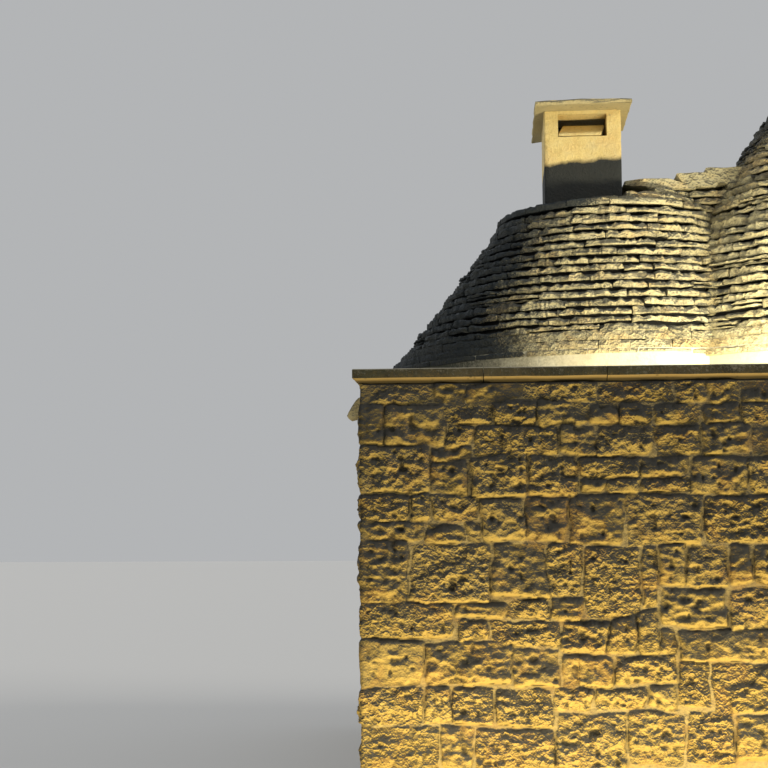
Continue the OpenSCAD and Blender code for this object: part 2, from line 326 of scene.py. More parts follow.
def stone_material(name, dark, mid, light, patina, patina_amount=0.5, mortar=None, lichen=0.0, bump=0.006,
                   up_dark=0.0, attrs=True, pits=0.5, rough=0.92, painted_facing_light=None, foot=None, spots=(0.10, 0.10, 0.09), chips=None,
                   side_painted_shade=None, stain=None):
    """Weathered stone: noise tones, grey patina, painted shade in hollows, gaps and undersides; the facing tuple (shade
    colour, highlight colour, strength) paints shade on what faces up and a highlight on what faces down, as if lit from
    below.
    """
    m, nt, b = nodes_of(name)
    s = Shade(nt)
    large = s.noise(1.7, 5, 0.6)
    middle = s.noise(9.0, 6, 0.62)
    fine = s.noise(70.0, 6, 0.7)
    grain = s.noise(320.0, 3, 0.6)
    tone = s.math("ADD", s.math("MULTIPLY", middle, 0.62), s.math("MULTIPLY", fine, 0.38))
    if attrs:
        tint, joint, cavity_shade, chipped = s.attribute("stone")
        tone = s.math("ADD", tone, s.math("MULTIPLY", s.math("SUBTRACT", tint, 0.5), 0.26))
    col = s.ramp(tone, [(0.32, dark), (0.50, mid), (0.68, light)])
    pat = s.ramp(s.math("ADD", s.math("MULTIPLY", large, 0.6), s.math("MULTIPLY", middle, 0.4)),
                 [(0.46, 0.0), (0.64, 1.0)])
    col = s.mix(s.math("MULTIPLY", pat, patina_amount), col, patina)
    if attrs and mortar:
        lime = s.mix(s.ramp(fine, [(0.35, 0.0), (0.7, 1.0)]), mortar, tuple(c * 0.80 for c in mortar))
        col = s.mix(s.ramp(joint, [(0.35, 0.0), (0.75, 1.0)]), col, lime)
    if stain:
        shade, amount = stain
        where = s.ramp(s.noise(5.2, 4, 0.6, distort=0.6), [(0.50, 0.0), (0.66, 1.0)])
        col = s.mix(s.math("MULTIPLY", where, amount), col, shade)
    # painted light: what faces up turns to the painted shade colour and what faces down to the painted highlight, as if
    # lit from below
    if painted_facing_light:
        up_painted_shade, down_painted_highlight, strength = painted_facing_light
        # on the wall the painted light is full on the front face and drops to 0.42 of it from 0.85 m back, on the sides
        # and the back
        if name == "wall_limestone":
            sep = s.nt.nodes.new("ShaderNodeSeparateXYZ")
            s.link(s.pos, sep.inputs[0])
            strength = s.ramp(s.math("ADD", sep.outputs[1], OY), [(0.05, strength), (0.85, strength * 0.42)])
        tilt = s.math("ADD", s.up(), s.math("MULTIPLY", s.math("SUBTRACT", fine, 0.5), 0.5))
        if name == "wall_limestone":
            # painted shade: higher up, more of the wall takes the painted shade colour, as if light from below grazed
            # the upper courses
            tilt = s.math("ADD", tilt, s.math("MULTIPLY", s.math("SUBTRACT", sep.outputs[2], 0.80), 0.12))
        # painted shading of the chips, as if lit from below: where a chip's surface rises upwards the colour goes
        # towards the highlight, where it falls towards the shade
        if chips:
            step = 0.0035
            here, above = s.shaken(30.0, 0.030), s.shaken(30.0, 0.030, step)
            for scale, amount in chips:
                a, b_ = s.cells(scale, at=here), s.cells(scale, at=above)
                slope = s.math("MULTIPLY", s.math("SUBTRACT", s.math("MULTIPLY", b_, b_), s.math("MULTIPLY", a, a)), amount * bump / step)
                tilt = s.math("SUBTRACT", tilt, s.math("MULTIPLY", s.math("MULTIPLY", slope, chipped) if attrs else slope, 0.75))
        col = s.mix(s.math("MULTIPLY", s.ramp(tilt, [(0.00, 0.0), (0.30, 1.0)]), strength), col, up_painted_shade)
        down = s.math("MULTIPLY", tilt, -1.0)
        col = s.mix(s.math("MULTIPLY", s.math("MULTIPLY", s.ramp(down, [(0.02, 0.0), (0.50, 1.0)]), 0.72), strength), col, down_painted_highlight)
    # painted shade: the marked hollows, gaps, undersides and insides go dark; on the wall it stands also for the dark
    # patina of the pits
    if attrs:
        col = s.mix(s.ramp(cavity_shade, [(0.15, 0.0), (0.9, 0.86)]), col, tuple(c * 0.30 for c in patina))
    # darker on what faces up: painted shade, as if lit from below, together with darker weathering of upward faces
    if up_dark:
        facing = s.ramp(s.up(), [(0.25, 0.0), (0.9, 1.0)])
        col = s.mix(s.math("MULTIPLY", facing, s.math("ADD", up_dark * 0.4, s.math("MULTIPLY", middle, up_dark))),
                    col, tuple(c * 0.55 for c in patina))
    if lichen:
        blots = s.ramp(s.cells(26.0), [(0.12, 1.0), (0.30, 0.0)])
        where = s.ramp(s.noise(3.1, 5, 0.7), [(0.48, 0.0), (0.62, 1.0)])
        col = s.mix(s.math("MULTIPLY", s.math("MULTIPLY", blots, where), lichen), col, spots)
        pale = s.ramp(s.noise(41.0, 4, 0.7), [(0.60, 0.0), (0.70, 1.0)])
        col = s.mix(s.math("MULTIPLY", pale, lichen * 0.35), col, tuple(min(0.8, c * 1.15) for c in light))
    # painted shadow: below a line between z0 and z1, rising a little to the right, the colour turns to the shade colour
    if foot:
        z0, z1, shade = foot
        h = s.math("ADD", s.height(), s.math("MULTIPLY", s.math("SUBTRACT", middle, 0.5), 0.07))
        h = s.math("SUBTRACT", h, s.math("MULTIPLY", s.math("SUBTRACT", s.along(), 1.35 - OX), 0.09))
        fade = s.ramp(s.math("DIVIDE", s.math("SUBTRACT", h, z0), z1 - z0), [(0.0, 1.0), (1.0, 0.0)])
        col = s.mix(s.math("MULTIPLY", fade, 0.975), col, shade)
    # painted shade on the left side: the boundary lies further right higher up and close to the roof's foot, broken by
    # noise
    if side_painted_shade:
        x0, x1, shade, strength, slope, foot_shift = side_painted_shade
        px = s.math("ADD", s.along(), s.math("MULTIPLY", s.math("SUBTRACT", large, 0.5), 0.5))
        px = s.math("ADD", px, s.math("MULTIPLY", s.math("SUBTRACT", fine, 0.5), 0.7))
        px = s.math("SUBTRACT", px, s.math("MULTIPLY", s.math("SUBTRACT", s.height(), Z_CONE), slope))
        px = s.math("SUBTRACT", px, s.math("MULTIPLY", s.math("MAXIMUM", s.math("SUBTRACT", Z_CONE + 0.22, s.height()), 0.0), foot_shift))
        fade = s.ramp(s.math("DIVIDE", s.math("SUBTRACT", px, x0), x1 - x0), [(0.0, 1.0), (1.0, 0.0)])
        col = s.mix(s.math("MULTIPLY", fade, strength), col, shade)
    s.link(col, b.inputs["Base Color"])
    b.inputs["Roughness"].default_value = rough
    b.inputs["Specular IOR Level"].default_value = 0.15
    hole = s.ramp(s.cells(95.0), [(0.0, 0.0), (0.34, 1.0)])
    height = s.math("ADD", s.math("MULTIPLY", fine, 0.7), s.math("MULTIPLY", grain, 0.3))
    height = s.math("ADD", height, s.math("MULTIPLY", hole, pits * 0.35))
    height = s.math("ADD", height, s.math("MULTIPLY", middle, 0.9))
    if chips:
        at = s.shaken(30.0, 0.030)
        for scale, amount in chips:
            d = s.cells(scale, at=at)
            d = s.math("MULTIPLY", s.math("MULTIPLY", d, d), amount)
            height = s.math("ADD", height, s.math("MULTIPLY", d, chipped) if attrs else d)
    s.bump(b, height, 1.0 if chips else 0.9, bump)
    return m


# painted light on the wall: a near-black painted shade on upward facets and a honey painted highlight on downward
# facets, as if lit from below
WALL_UP_PAINTED_SHADE = (0.052, 0.053, 0.050)
M_WALL = stone_material("wall_limestone", (0.070, 0.053, 0.023), (0.195, 0.142, 0.044), (0.370, 0.268, 0.078),
                        (0.085, 0.081, 0.058), 0.50, mortar=(0.400, 0.305, 0.118), bump=0.013, pits=1.0,
                        painted_facing_light=(WALL_UP_PAINTED_SHADE, (0.640, 0.445, 0.105), 0.95), chips=((34.0, 0.80), (82.0, 0.45)), stain=((0.330, 0.178, 0.045), 0.45))
M_INNER = stone_material("limewashed_stone", (0.62, 0.57, 0.47), (0.74, 0.70, 0.60), (0.80, 0.77, 0.69),
                         (0.60, 0.57, 0.50), 0.35, bump=0.008, attrs=False)
# the dressed stone gets painted shade on what faces up and a painted highlight on what faces down
M_DRESSED = stone_material("dressed_limestone", (0.25, 0.190, 0.085), (0.41, 0.315, 0.145), (0.56, 0.445, 0.225),
                           (0.24, 0.215, 0.135), 0.45, bump=0.006, lichen=0.35, chips=((75.0, 0.40), (150.0, 0.25)),
                           stain=((0.40, 0.26, 0.11), 0.35), painted_facing_light=((0.16, 0.155, 0.125), (0.60, 0.49, 0.27), 0.55))
M_DRESSED_CAD = stone_material("dressed_limestone_inner", (0.55, 0.49, 0.37), (0.68, 0.62, 0.48), (0.76, 0.70, 0.57),
                               (0.52, 0.49, 0.42), 0.40, bump=0.003, attrs=False)
M_FLOOR = stone_material("paving_limestone", (0.42, 0.38, 0.31), (0.56, 0.52, 0.44), (0.66, 0.62, 0.53),
                         (0.44, 0.42, 0.38), 0.5, bump=0.002, rough=0.7)
# the cornice's near-black tones are weathering made darker still as painted shade; a painted highlight lies on the
# downward bevel and a lighter grey on what faces up
M_CORNICE = stone_material("cornice_limestone", (0.020, 0.018, 0.012), (0.038, 0.034, 0.020), (0.086, 0.070, 0.038),
                           (0.024, 0.031, 0.016), 0.75, bump=0.006, lichen=0.8, spots=(0.026, 0.030, 0.020),
                           painted_facing_light=((0.300, 0.280, 0.215), (0.500, 0.340, 0.110), 1.0))
M_DECK = stone_material("deck_limestone", (0.20, 0.185, 0.14), (0.36, 0.33, 0.26), (0.50, 0.46, 0.36),
                        (0.21, 0.21, 0.18), 0.6, bump=0.004, lichen=0.7)
M_DECK_CAD = stone_material("deck_limestone_inner", (0.20, 0.185, 0.14), (0.36, 0.33, 0.26), (0.50, 0.46, 0.36),
                            (0.21, 0.21, 0.18), 0.6, bump=0.004, attrs=False)
# the lime band's left part gets painted shade
M_BAND = stone_material("lime_band", (0.56, 0.50, 0.33), (0.72, 0.655, 0.46), (0.81, 0.755, 0.57),
                        (0.46, 0.44, 0.34), 0.35, bump=0.004, lichen=0.25, side_painted_shade=(0.50 - OX, 1.12 - OX, (0.045, 0.050, 0.040), 0.94, 0.42, 0.0))
# roof slabs: painted shade on what faces up and on the left side, a painted highlight on what faces down
M_ROOF = stone_material("roof_slab_limestone", (0.210, 0.182, 0.105), (0.520, 0.450, 0.255), (0.760, 0.675, 0.400),
                        (0.210, 0.212, 0.180), 0.45, bump=0.012, lichen=0.80, up_dark=0.9, pits=0.8,
                        spots=(0.045, 0.046, 0.040), stain=((0.640, 0.440, 0.180), 0.55),
                        side_painted_shade=(0.52 - OX, 0.84 - OX, (0.030, 0.038, 0.044), 0.95, 0.42, 1.1), chips=((24.0, 1.0), (62.0, 0.55)),
                        painted_facing_light=((0.060, 0.062, 0.058), (0.800, 0.690, 0.370), 0.75))
# a lighter copy of the roof slab stone, as painted light on the main roof; it too has painted shade on what faces up
# and on its left
M_MAIN_PAINTED_LIGHTER = stone_material("main_slab_limestone_painted_lighter", (0.360, 0.308, 0.168), (0.740, 0.638, 0.350), (0.900, 0.805, 0.475),
                        (0.210, 0.212, 0.180), 0.45, bump=0.012, lichen=0.55, up_dark=0.7, pits=0.5,
                        spots=(0.045, 0.046, 0.040), stain=((0.640, 0.440, 0.180), 0.55),
                        side_painted_shade=(0.98 - OX, 1.13 - OX, (0.030, 0.038, 0.044), 0.93, 1.0, 0.0), chips=((24.0, 0.8), (62.0, 0.45)),
                        painted_facing_light=((0.060, 0.062, 0.058), (0.860, 0.740, 0.390), 0.55))
# the crown's slabs: the same painted light, with the left-side painted shade placed for the crown
M_CROWN = stone_material("crown_slab_limestone", (0.210, 0.182, 0.105), (0.520, 0.450, 0.255), (0.760, 0.675, 0.400),
                         (0.210, 0.212, 0.180), 0.45, bump=0.010, lichen=0.80, up_dark=0.9, pits=0.8,
                         spots=(0.045, 0.046, 0.040), stain=((0.640, 0.440, 0.180), 0.55),
                         side_painted_shade=(0.86 - OX, 1.08 - OX, (0.030, 0.038, 0.044), 0.95, 0.42, 0.0), chips=((24.0, 0.9), (62.0, 0.5)),
                         painted_facing_light=((0.080, 0.082, 0.076), (0.800, 0.690, 0.370), 0.70))
# near-black: painted shade seen in the gaps between the roof slabs
M_BED_PAINTED_SHADE = stone_material("roof_bedding_painted_shade", (0.012, 0.012, 0.011), (0.026, 0.025, 0.022), (0.045, 0.042, 0.036),
                       (0.018, 0.019, 0.019), 0.4, bump=0.006)
# the chimney plaster below about 4.07 m is painted near-black: the crown's painted shadow
M_PLASTER = stone_material("chimney_plaster", (0.600, 0.450, 0.170), (0.790, 0.610, 0.250), (0.840, 0.690, 0.330),
                           (0.430, 0.340, 0.180), 0.45, bump=0.008, lichen=0.40, chips=((38.0, 0.45), (95.0, 0.40)), stain=((0.720, 0.480, 0.180), 0.45),
                           foot=(4.055, 4.088, (0.018, 0.024, 0.030)))
# painted highlight on the undersides of the cap and the spout, painted shade on their upward faces
M_CAP = stone_material("chimney_cap_stone", (0.319, 0.260, 0.126), (0.504, 0.412, 0.202), (0.638, 0.538, 0.286),
                       (0.220, 0.205, 0.140), 0.40, bump=0.007, lichen=0.55, up_dark=0.75, chips=((60.0, 0.5), (130.0, 0.3)),
                       painted_facing_light=((0.140, 0.138, 0.108), (0.640, 0.540, 0.290), 0.75))
M_SOOT = stone_material("sooted_stone", (0.10, 0.09, 0.075), (0.20, 0.18, 0.15), (0.32, 0.29, 0.24),
                        (0.09, 0.085, 0.08), 0.6, bump=0.006, attrs=False)

# ---------------------------------------------------------------- walls
PERIM = 2 * (W + D)


def wrap_point(s):
    """Point and outward direction on the wall's outline, s metres from the front left corner towards +x."""
    s = np.mod(s, PERIM)
    x = np.select([s < W, s < W + D, s < 2 * W + D], [s, W + 0 * s, 2 * W + D - s], 0 * s)
    y = np.select([s < W, s < W + D, s < 2 * W + D], [0 * s, s - W, D + 0 * s], PERIM - s)
    nx = np.select([s < W, s < W + D, s < 2 * W + D], [0 * s, 1 + 0 * s, 0 * s], -1 + 0 * s)
    ny = np.select([s < W, s < W + D, s < 2 * W + D], [-1 + 0 * s, 0 * s, 1 + 0 * s], 0 * s)
    for c, (ax, ay) in ((0.0, (-1, -1)), (W, (1, -1)), (W + D, (1, 1)), (2 * W + D, (-1, 1))):
        at = np.abs(s - c) < 1e-6
        nx, ny = np.where(at, ax, nx), np.where(at, ay, ny)
    return x, y, nx, ny


# Stones on the left part of the front: left, right, bottom, top, from the picture
FRONT_STONES = [
    (0.05, 0.40, 2.29, 2.39), (0.41, 0.58, 2.29, 2.39), (0.59, 0.89, 2.29, 2.38),
    (0.89, 1.29, 2.29, 2.39), (0.13, 0.46, 2.05, 2.28), (0.47, 0.72, 2.17, 2.28),
    (0.47, 0.61, 2.05, 2.16), (0.73, 0.97, 2.15, 2.28), (0.98, 1.25, 2.16, 2.28), (0.63, 1.08, 1.99, 2.15),
    (0.39, 0.61, 1.97, 2.04), (0.38, 0.58, 1.78, 1.96), (0.61, 0.91, 1.76, 1.98),
    (0.93, 1.18, 1.77, 1.98), (0.27, 0.37, 1.64, 1.78), (0.39, 0.64, 1.64, 1.77),
    (0.66, 0.89, 1.53, 1.75), (0.90, 1.12, 1.53, 1.76), (0.36, 0.56, 1.52, 1.62),
    (0.57, 0.65, 1.52, 1.63), (0.27, 0.70, 1.19, 1.51), (0.72, 1.01, 1.22, 1.51),
    (1.02, 1.20, 1.22, 1.51), (1.30, 1.71, 2.28, 2.39), (1.73, 1.89, 2.27, 2.39), (1.91, 2.07, 2.27, 2.39),
    (2.08, 2.36, 2.27, 2.38), (1.26, 1.42, 2.16, 2.27), (1.43, 1.60, 2.15, 2.27), (1.62, 1.85, 2.16, 2.26),
    (1.87, 2.07, 2.16, 2.26), (2.09, 2.34, 2.15, 2.26), (1.10, 1.28, 2.00, 2.15), (1.30, 1.59, 1.99, 2.14),
    (1.61, 1.85, 1.99, 2.15), (1.87, 2.12, 1.99, 2.15), (2.14, 2.38, 1.99, 2.14), (1.20, 1.53, 1.87, 1.98),
    (1.20, 1.34, 1.79, 1.86), (1.35, 1.52, 1.78, 1.86), (1.54, 1.79, 1.88, 1.98), (1.54, 1.80, 1.79, 1.87),
    (1.81, 2.10, 1.77, 1.97), (2.11, 2.42, 1.78, 1.97), (1.14, 1.43, 1.51, 1.77), (1.45, 1.85, 1.50, 1.77),
    (1.87, 2.30, 1.51, 1.76), (1.22, 1.51, 1.11, 1.49), (1.53, 1.60, 1.16, 1.49), (1.62, 1.76, 1.28, 1.49),
    (1.78, 1.98, 1.28, 1.49), (2.00, 2.11, 1.29, 1.49), (2.13, 2.38, 1.28, 1.49), (1.62, 1.97, 1.06, 1.26),
    (2.00, 2.32, 1.05, 1.26), (0.51, 0.78, 1.11, 1.18), (0.79, 1.01, 1.10, 1.20),
    (1.03, 1.20, 1.09, 1.21), (0.52, 0.69, 0.98, 1.09), (0.71, 1.08, 0.95, 1.08), (1.09, 1.33, 0.92, 1.08),
    (1.34, 1.49, 0.92, 1.10), (1.50, 1.60, 0.91, 1.14), (1.61, 1.70, 0.91, 1.04), (1.72, 2.26, 0.88, 1.04),
    (0.35, 0.81, 0.75, 0.97), (0.82, 1.07, 0.74, 0.93), (1.09, 1.35, 0.74, 0.90),
    (1.37, 1.69, 0.76, 0.90), (1.71, 1.87, 0.64, 0.88), (1.89, 2.28, 0.61, 0.86),
    (0.34, 0.48, 0.54, 0.73), (0.49, 0.71, 0.54, 0.73), (0.73, 1.03, 0.53, 0.72),
    (1.04, 1.24, 0.61, 0.73), (1.26, 1.53, 0.62, 0.73), (1.55, 1.69, 0.62, 0.74),
    (0.43, 0.59, 0.29, 0.52), (0.61, 1.03, 0.30, 0.51), (1.05, 1.42, 0.30, 0.59), (1.44, 1.73, 0.32, 0.60),
    (1.75, 1.99, 0.33, 0.61), (2.01, 2.34, 0.34, 0.59),
]
# Corner stones of the front left corner: length on the front, length on the side, bottom, top
CORNER_STONES = [
    (0.04, 0.34, 2.29, 2.39), (0.12, 0.46, 2.06, 2.28), (0.37, 0.24, 1.80, 2.04), (0.25, 0.52, 1.64, 1.78),
    (0.34, 0.22, 1.53, 1.63), (0.25, 0.48, 1.19, 1.52), (0.49, 0.26, 1.00, 1.18), (0.33, 0.50, 0.74, 0.99),
    (0.32, 0.22, 0.53, 0.72), (0.41, 0.30, 0.29, 0.51), (0.30, 0.55, 0.01, 0.27),
]


def build_stones():
    rng = np.random.default_rng(71)
    out = [list(s) for s in FRONT_STONES]
    out += [[-b, a, z0, z1] for a, b, z0, z1 in CORNER_STONES]

    def fill(s0, s1, z0, z1, low_w, high_w, courses=None):
        """Rows of stones in a rectangle of wall, with some stones split in two layers or joined."""
        z = z0
        rows = []
        if courses:
            rows, z = courses, z1
        while z1 - z > 0.001:
            h = rng.uniform(0.13, 0.29)
            if z1 - z - h < 0.12:
                h = z1 - z if z1 - z < 0.31 else (z1 - z) / 2
            rows.append((z, z + h))
            z += h
        for a, b, *first in rows:
            s = first[0] if first else s0
            while s1 - s > 0.001:
                w = rng.uniform(low_w, high_w) * (1.25 if b - a > 0.2 else 1.0)
                if s1 - s - w < 0.13:
                    w = s1 - s
                    if w > high_w * 1.35:
                        w /= 2
                if b - a > 0.21 and rng.random() < 0.28:
                    m = a + (b - a) * rng.uniform(0.38, 0.62)
                    cut = s + w * rng.uniform(0.35, 0.65)
                    out.append([s, s + w, a, m])
                    if rng.random() < 0.5 and w > 0.3:
                        out.append([s, cut, m, b])
                        out.append([cut, s + w, m, b])
                    else:
                        out.append([s, s + w, m, b])
                else:
                    out.append([s, s + w, a, b])
                s += w

    def shrink(start):
        for st in out[start:]:
            g = rng.uniform(0.005, 0.011)
            st[0] += g
            st[1] -= g
            st[2] += rng.uniform(0.003, 0.009)
            st[3] -= rng.uniform(0.003, 0.009)

    start = len(out)
    fill(0.30, 2.36, 0.0, 0.285, 0.25, 0.50)
    # the courses run on to the right from the stones above
    fill(2.36, 4.95, 0.0, 2.395, 0.20, 0.46, courses=[
        (0.0, 0.155, 2.36), (0.155, 0.322, 2.36), (0.325, 0.602, 2.345), (0.602, 0.872, 2.288), (0.872, 1.045, 2.268), (1.045, 1.270, 2.328),
        (1.270, 1.500, 2.388), (1.500, 1.770, 2.308), (1.770, 1.980, 2.428), (1.980, 2.145, 2.388), (2.145, 2.265, 2.348), (2.265, 2.395, 2.368)])
    # the other three corners: stones turn the corner, long and short by turns
    for c in (W, W + D, 2 * W + D):
        z, flip = 0.0, rng.random() < 0.5
        while 2.395 - z > 0.001:
            h = rng.uniform(0.15, 0.30)
            if 2.395 - z - h < 0.13:
                h = 2.395 - z
            a, b = (0.46, 0.26) if flip else (0.26, 0.46)
            a += rng.uniform(-0.05, 0.08)
            b += rng.uniform(-0.05, 0.08)
            out.append([c - a, c + b, z, z + h])
            if a < 0.55:
                out.append([c - 0.59, c - a, z, z + h])
            if b < 0.55:
                out.append([c + b, c + 0.59, z, z + h])
            z += h
            flip = not flip
    fill(W + 0.59, W + D - 0.59, 0.0, 2.395, 0.20, 0.48)
    fill(W + D + 0.59, 2 * W + D - 0.59, 0.0, 2.395, 0.20, 0.48)
    fill(2 * W + D + 0.59, PERIM - 0.56, 0.0, 2.395, 0.20, 0.48)
    shrink(start)
    # beside the front left corner, on the side wall
    start = len(out)
    for a, b, z0, z1 in CORNER_STONES:
        if b < 0.54:
            out.append([-0.56, -b, z0, z1])
    shrink(start)
    return out


STONES = build_stones()


def scoops(u, v, cell, seed, tilt=0.55, curve=0.85, lift=0.40):
    """Chipped surface: shallow scoops that meet in sharp ridges, in units of cell."""
    u, v = u / cell + 500.0, v / cell + 500.0
    iu, iv = np.floor(u).astype(np.int64), np.floor(v).astype(np.int64)
    out = np.full(u.shape, 9.0)
    with np.errstate(over="ignore"):
        for a in (-1, 0, 1):
            for b in (-1, 0, 1):
                cu, cv = iu + a, iv + b
                k = [_hash(cu, cv, cu * 0 + q, seed) for q in range(5)]
                du, dv = u - (cu + 0.5 + 0.42 * k[0]), v - (cv + 0.5 + 0.42 * k[1])
                out = np.minimum(out, lift * (0.5 + 0.5 * k[2]) + tilt * (k[3] * du + k[4] * dv) + curve * (du * du + dv * dv))
    return out


def box_blur(A, n0, n1):
    """Mean over a window of 2n+1 grid points each way."""
    for axis, n in ((0, n0), (1, n1)):
        if n < 1:
            continue
        pad = [(0, 0), (0, 0)]
        pad[axis] = (n + 1, n)
        c = np.cumsum(np.pad(A, pad, mode="edge"), axis=axis)
        w = 2 * n + 1
        A = (np.take(c, range(w, c.shape[axis]), axis) - np.take(c, range(0, c.shape[axis] - w), axis)) / w
    return A


def wall_relief(S, Z, cell):
    """Height over the wall's face, tint, joint and hollow amount (painted shade in the hollows) of each grid point, S
    and Z being 1-D.
    """
    ns, nz = len(S), len(Z)
    k = max(1.0, cell / 0.0080)
    open_up, soften = 0.0024 * (k - 1), k ** 0.7
    sx, sy, _, _ = wrap_point(S)
    X, Y = np.repeat(sx[:, None], nz, 1), np.repeat(sy[:, None], nz, 1)
    SS, ZZ = np.repeat(S[:, None], nz, 1), np.repeat(Z[None, :], ns, 0)
    run = np.mod(SS, PERIM)
    run = np.where(run > 2 * W + D + 1e-6, run - PERIM, run)
    # wobbling outlines
    ws = SS + 0.009 * vnoise(X, Y, ZZ, 0.085, 5) + 0.005 * vnoise(X, Y, ZZ, 0.030, 6)
    wz = ZZ + 0.010 * vnoise(X, Y, ZZ, 0.12, 8) + 0.005 * vnoise(X, Y, ZZ, 0.035, 9)
    best = np.full((ns, nz), -1.0)
    body = np.zeros((ns, nz))
    tint = np.full((ns, nz), 0.5)
    w_big, w_mid, w_low = np.ones((ns, nz)), np.ones((ns, nz)), np.ones((ns, nz))
    for n, (a, b, c, d) in enumerate(STONES):
        for shift in (-PERIM, 0.0, PERIM):
            i = np.where((S > a + shift - 0.05) & (S < b + shift + 0.05))[0]
            j = np.where((Z > c - 0.05) & (Z < d + 0.05))[0]
            if not len(i) or not len(j):
                continue
            blk = np.ix_(i, j)
            rng = np.random.default_rng(1000 + n)
            u, v = ws[blk] - shift, wz[blk]
            w, h = b - a, d - c
            um, vm = (u - (a + b) / 2) / w, (v - (c + d) / 2) / h
            skew = rng.normal(0, 0.007, 4)
            dx = np.minimum(u - a - skew[0] * vm * 2, b - u - skew[1] * vm * 2)
            dz = np.minimum(v - c - skew[2] * um * 2, d - v - skew[3] * um * 2)
            dx, dz = dx + 0.0055 - open_up, dz + 0.0055 - open_up
            inside = dx + dz - np.sqrt(dx * dx + dz * dz + 0.00004)
            # split-faced surface: a few tilted facets
            face = np.full(u.shape, -1.0)
            for _ in range(3):
                g = rng.normal(0, 0.012, 2)
                face = np.maximum(face, g[0] * um * 2 + g[1] * vm * 2 + rng.normal(0, 0.003))
            cut = rng.normal(0, 0.014, 2)
            face = np.minimum(face, 0.008 + cut[0] * um * 2 + cut[1] * vm * 2)
            belly = rng.uniform(0.004, 0.011)
            peak = rng.uniform(-0.30, 0.05)
            face = face + belly * (1 - np.clip((2 * vm - peak) / (1 + np.abs(peak)), -1.2, 1.2) ** 2) - 0.5 * belly
            proud = rng.uniform(0.016, 0.027)
            if d > 2.36:
                proud = rng.uniform(0.010, 0.016)
            rim = 1 - np.exp(-np.clip(inside, 0, 1) / rng.uniform(0.0045, 0.0095) / soften)
            height = 0.003 + (proud - 0.003 + np.clip(face, -0.009, 0.012)) * rim
            better = (inside > best[blk]) & (inside > 0)
            best[blk] = np.where(better, inside, best[blk])
            body[blk] = np.where(better, height, body[blk])
            for arr, value in ((tint, rng.uniform(0.0, 1.0)), (w_big, rng.uniform(0.45, 1.30)), (w_mid, rng.uniform(0.25, 1.25)),
                               (w_low, rng.uniform(0.15, 1.20))):
                arr[blk] = np.where(better, value, arr[blk])
    on = 1 - np.exp(-np.clip(best, 0, 1) / (0.010 * soften))
    du = 0.018 * vnoise(X, Y, ZZ, 0.06, 40)
    dv = 0.018 * vnoise(X, Y, ZZ, 0.06, 41)
    big = scoops(run + du, ZZ * 1.25 + dv, 0.110, 301)
    mid = scoops(run + 0.6 * dv, ZZ * 1.35 + 0.6 * du, 0.050, 302)
    low = scoops(run - 0.3 * du, ZZ * 1.3 + 0.3 * dv, 0.026, 303)
    chips = w_big * 0.110 * 0.26 * (big - 0.33) + w_mid * 0.050 * 0.40 * (mid - 0.33) + w_low * 0.026 * 0.42 * (low - 0.33)
    pocket = -0.016 * np.clip(vnoise(X, Y, ZZ, 0.055, 60) - 0.40, 0, 1) * 2 \
        - 0.010 * np.clip(vnoise(X, Y, ZZ, 0.030, 61) - 0.42, 0, 1) * 2
    lime = 0.0070 - 0.0030 * min(1.0, k - 1) + 0.0028 * fbm(X, Y, ZZ, 0.05, 2, 70)
    relief = body + on * (chips + pocket)
    high = np.maximum(lime, np.where(best > 0, relief, 0))
    # arrises at the house's corners: close to a straight, chipped line
    for c in (0.0, W, W + D, 2 * W + D, PERIM):
        gap = np.abs(SS - c)
        e = np.exp(-(gap / 0.045) ** 2)
        high = high * (1 - e) + (0.0115 + 0.35 * (high - 0.0115)) * e
        high = high - (0.002 + 0.002 * vnoise(X, Y, ZZ, 0.05, 80)) * np.exp(-(gap / 0.012) ** 2)
    high = np.clip(high, 0.0015, 0.044)
    step_s, step_z = (S[-1] - S[0]) / (ns - 1), (Z[-1] - Z[0]) / max(1, nz - 1)
    soft = box_blur(box_blur(high, int(0.022 / step_s + 0.5), int(0.022 / step_z + 0.5)),
                    int(0.014 / step_s + 0.5), int(0.014 / step_z + 0.5))
    # painted shade in the hollows, with the pits' dark patina: how far a point lies below its blurred surroundings
    cavity_shade = np.clip((soft - high) / 0.0075, 0, 1)
    joint = np.clip(1 - (high - lime) / 0.0022, 0, 1) * np.clip(1 - best / (0.008 * soften), 0, 1)
    return high, tint, joint, cavity_shade * (1 - 0.6 * joint), np.clip(0.25 + 0.85 * w_low, 0, 1.3) * np.clip(on + 0.15, 0, 1)


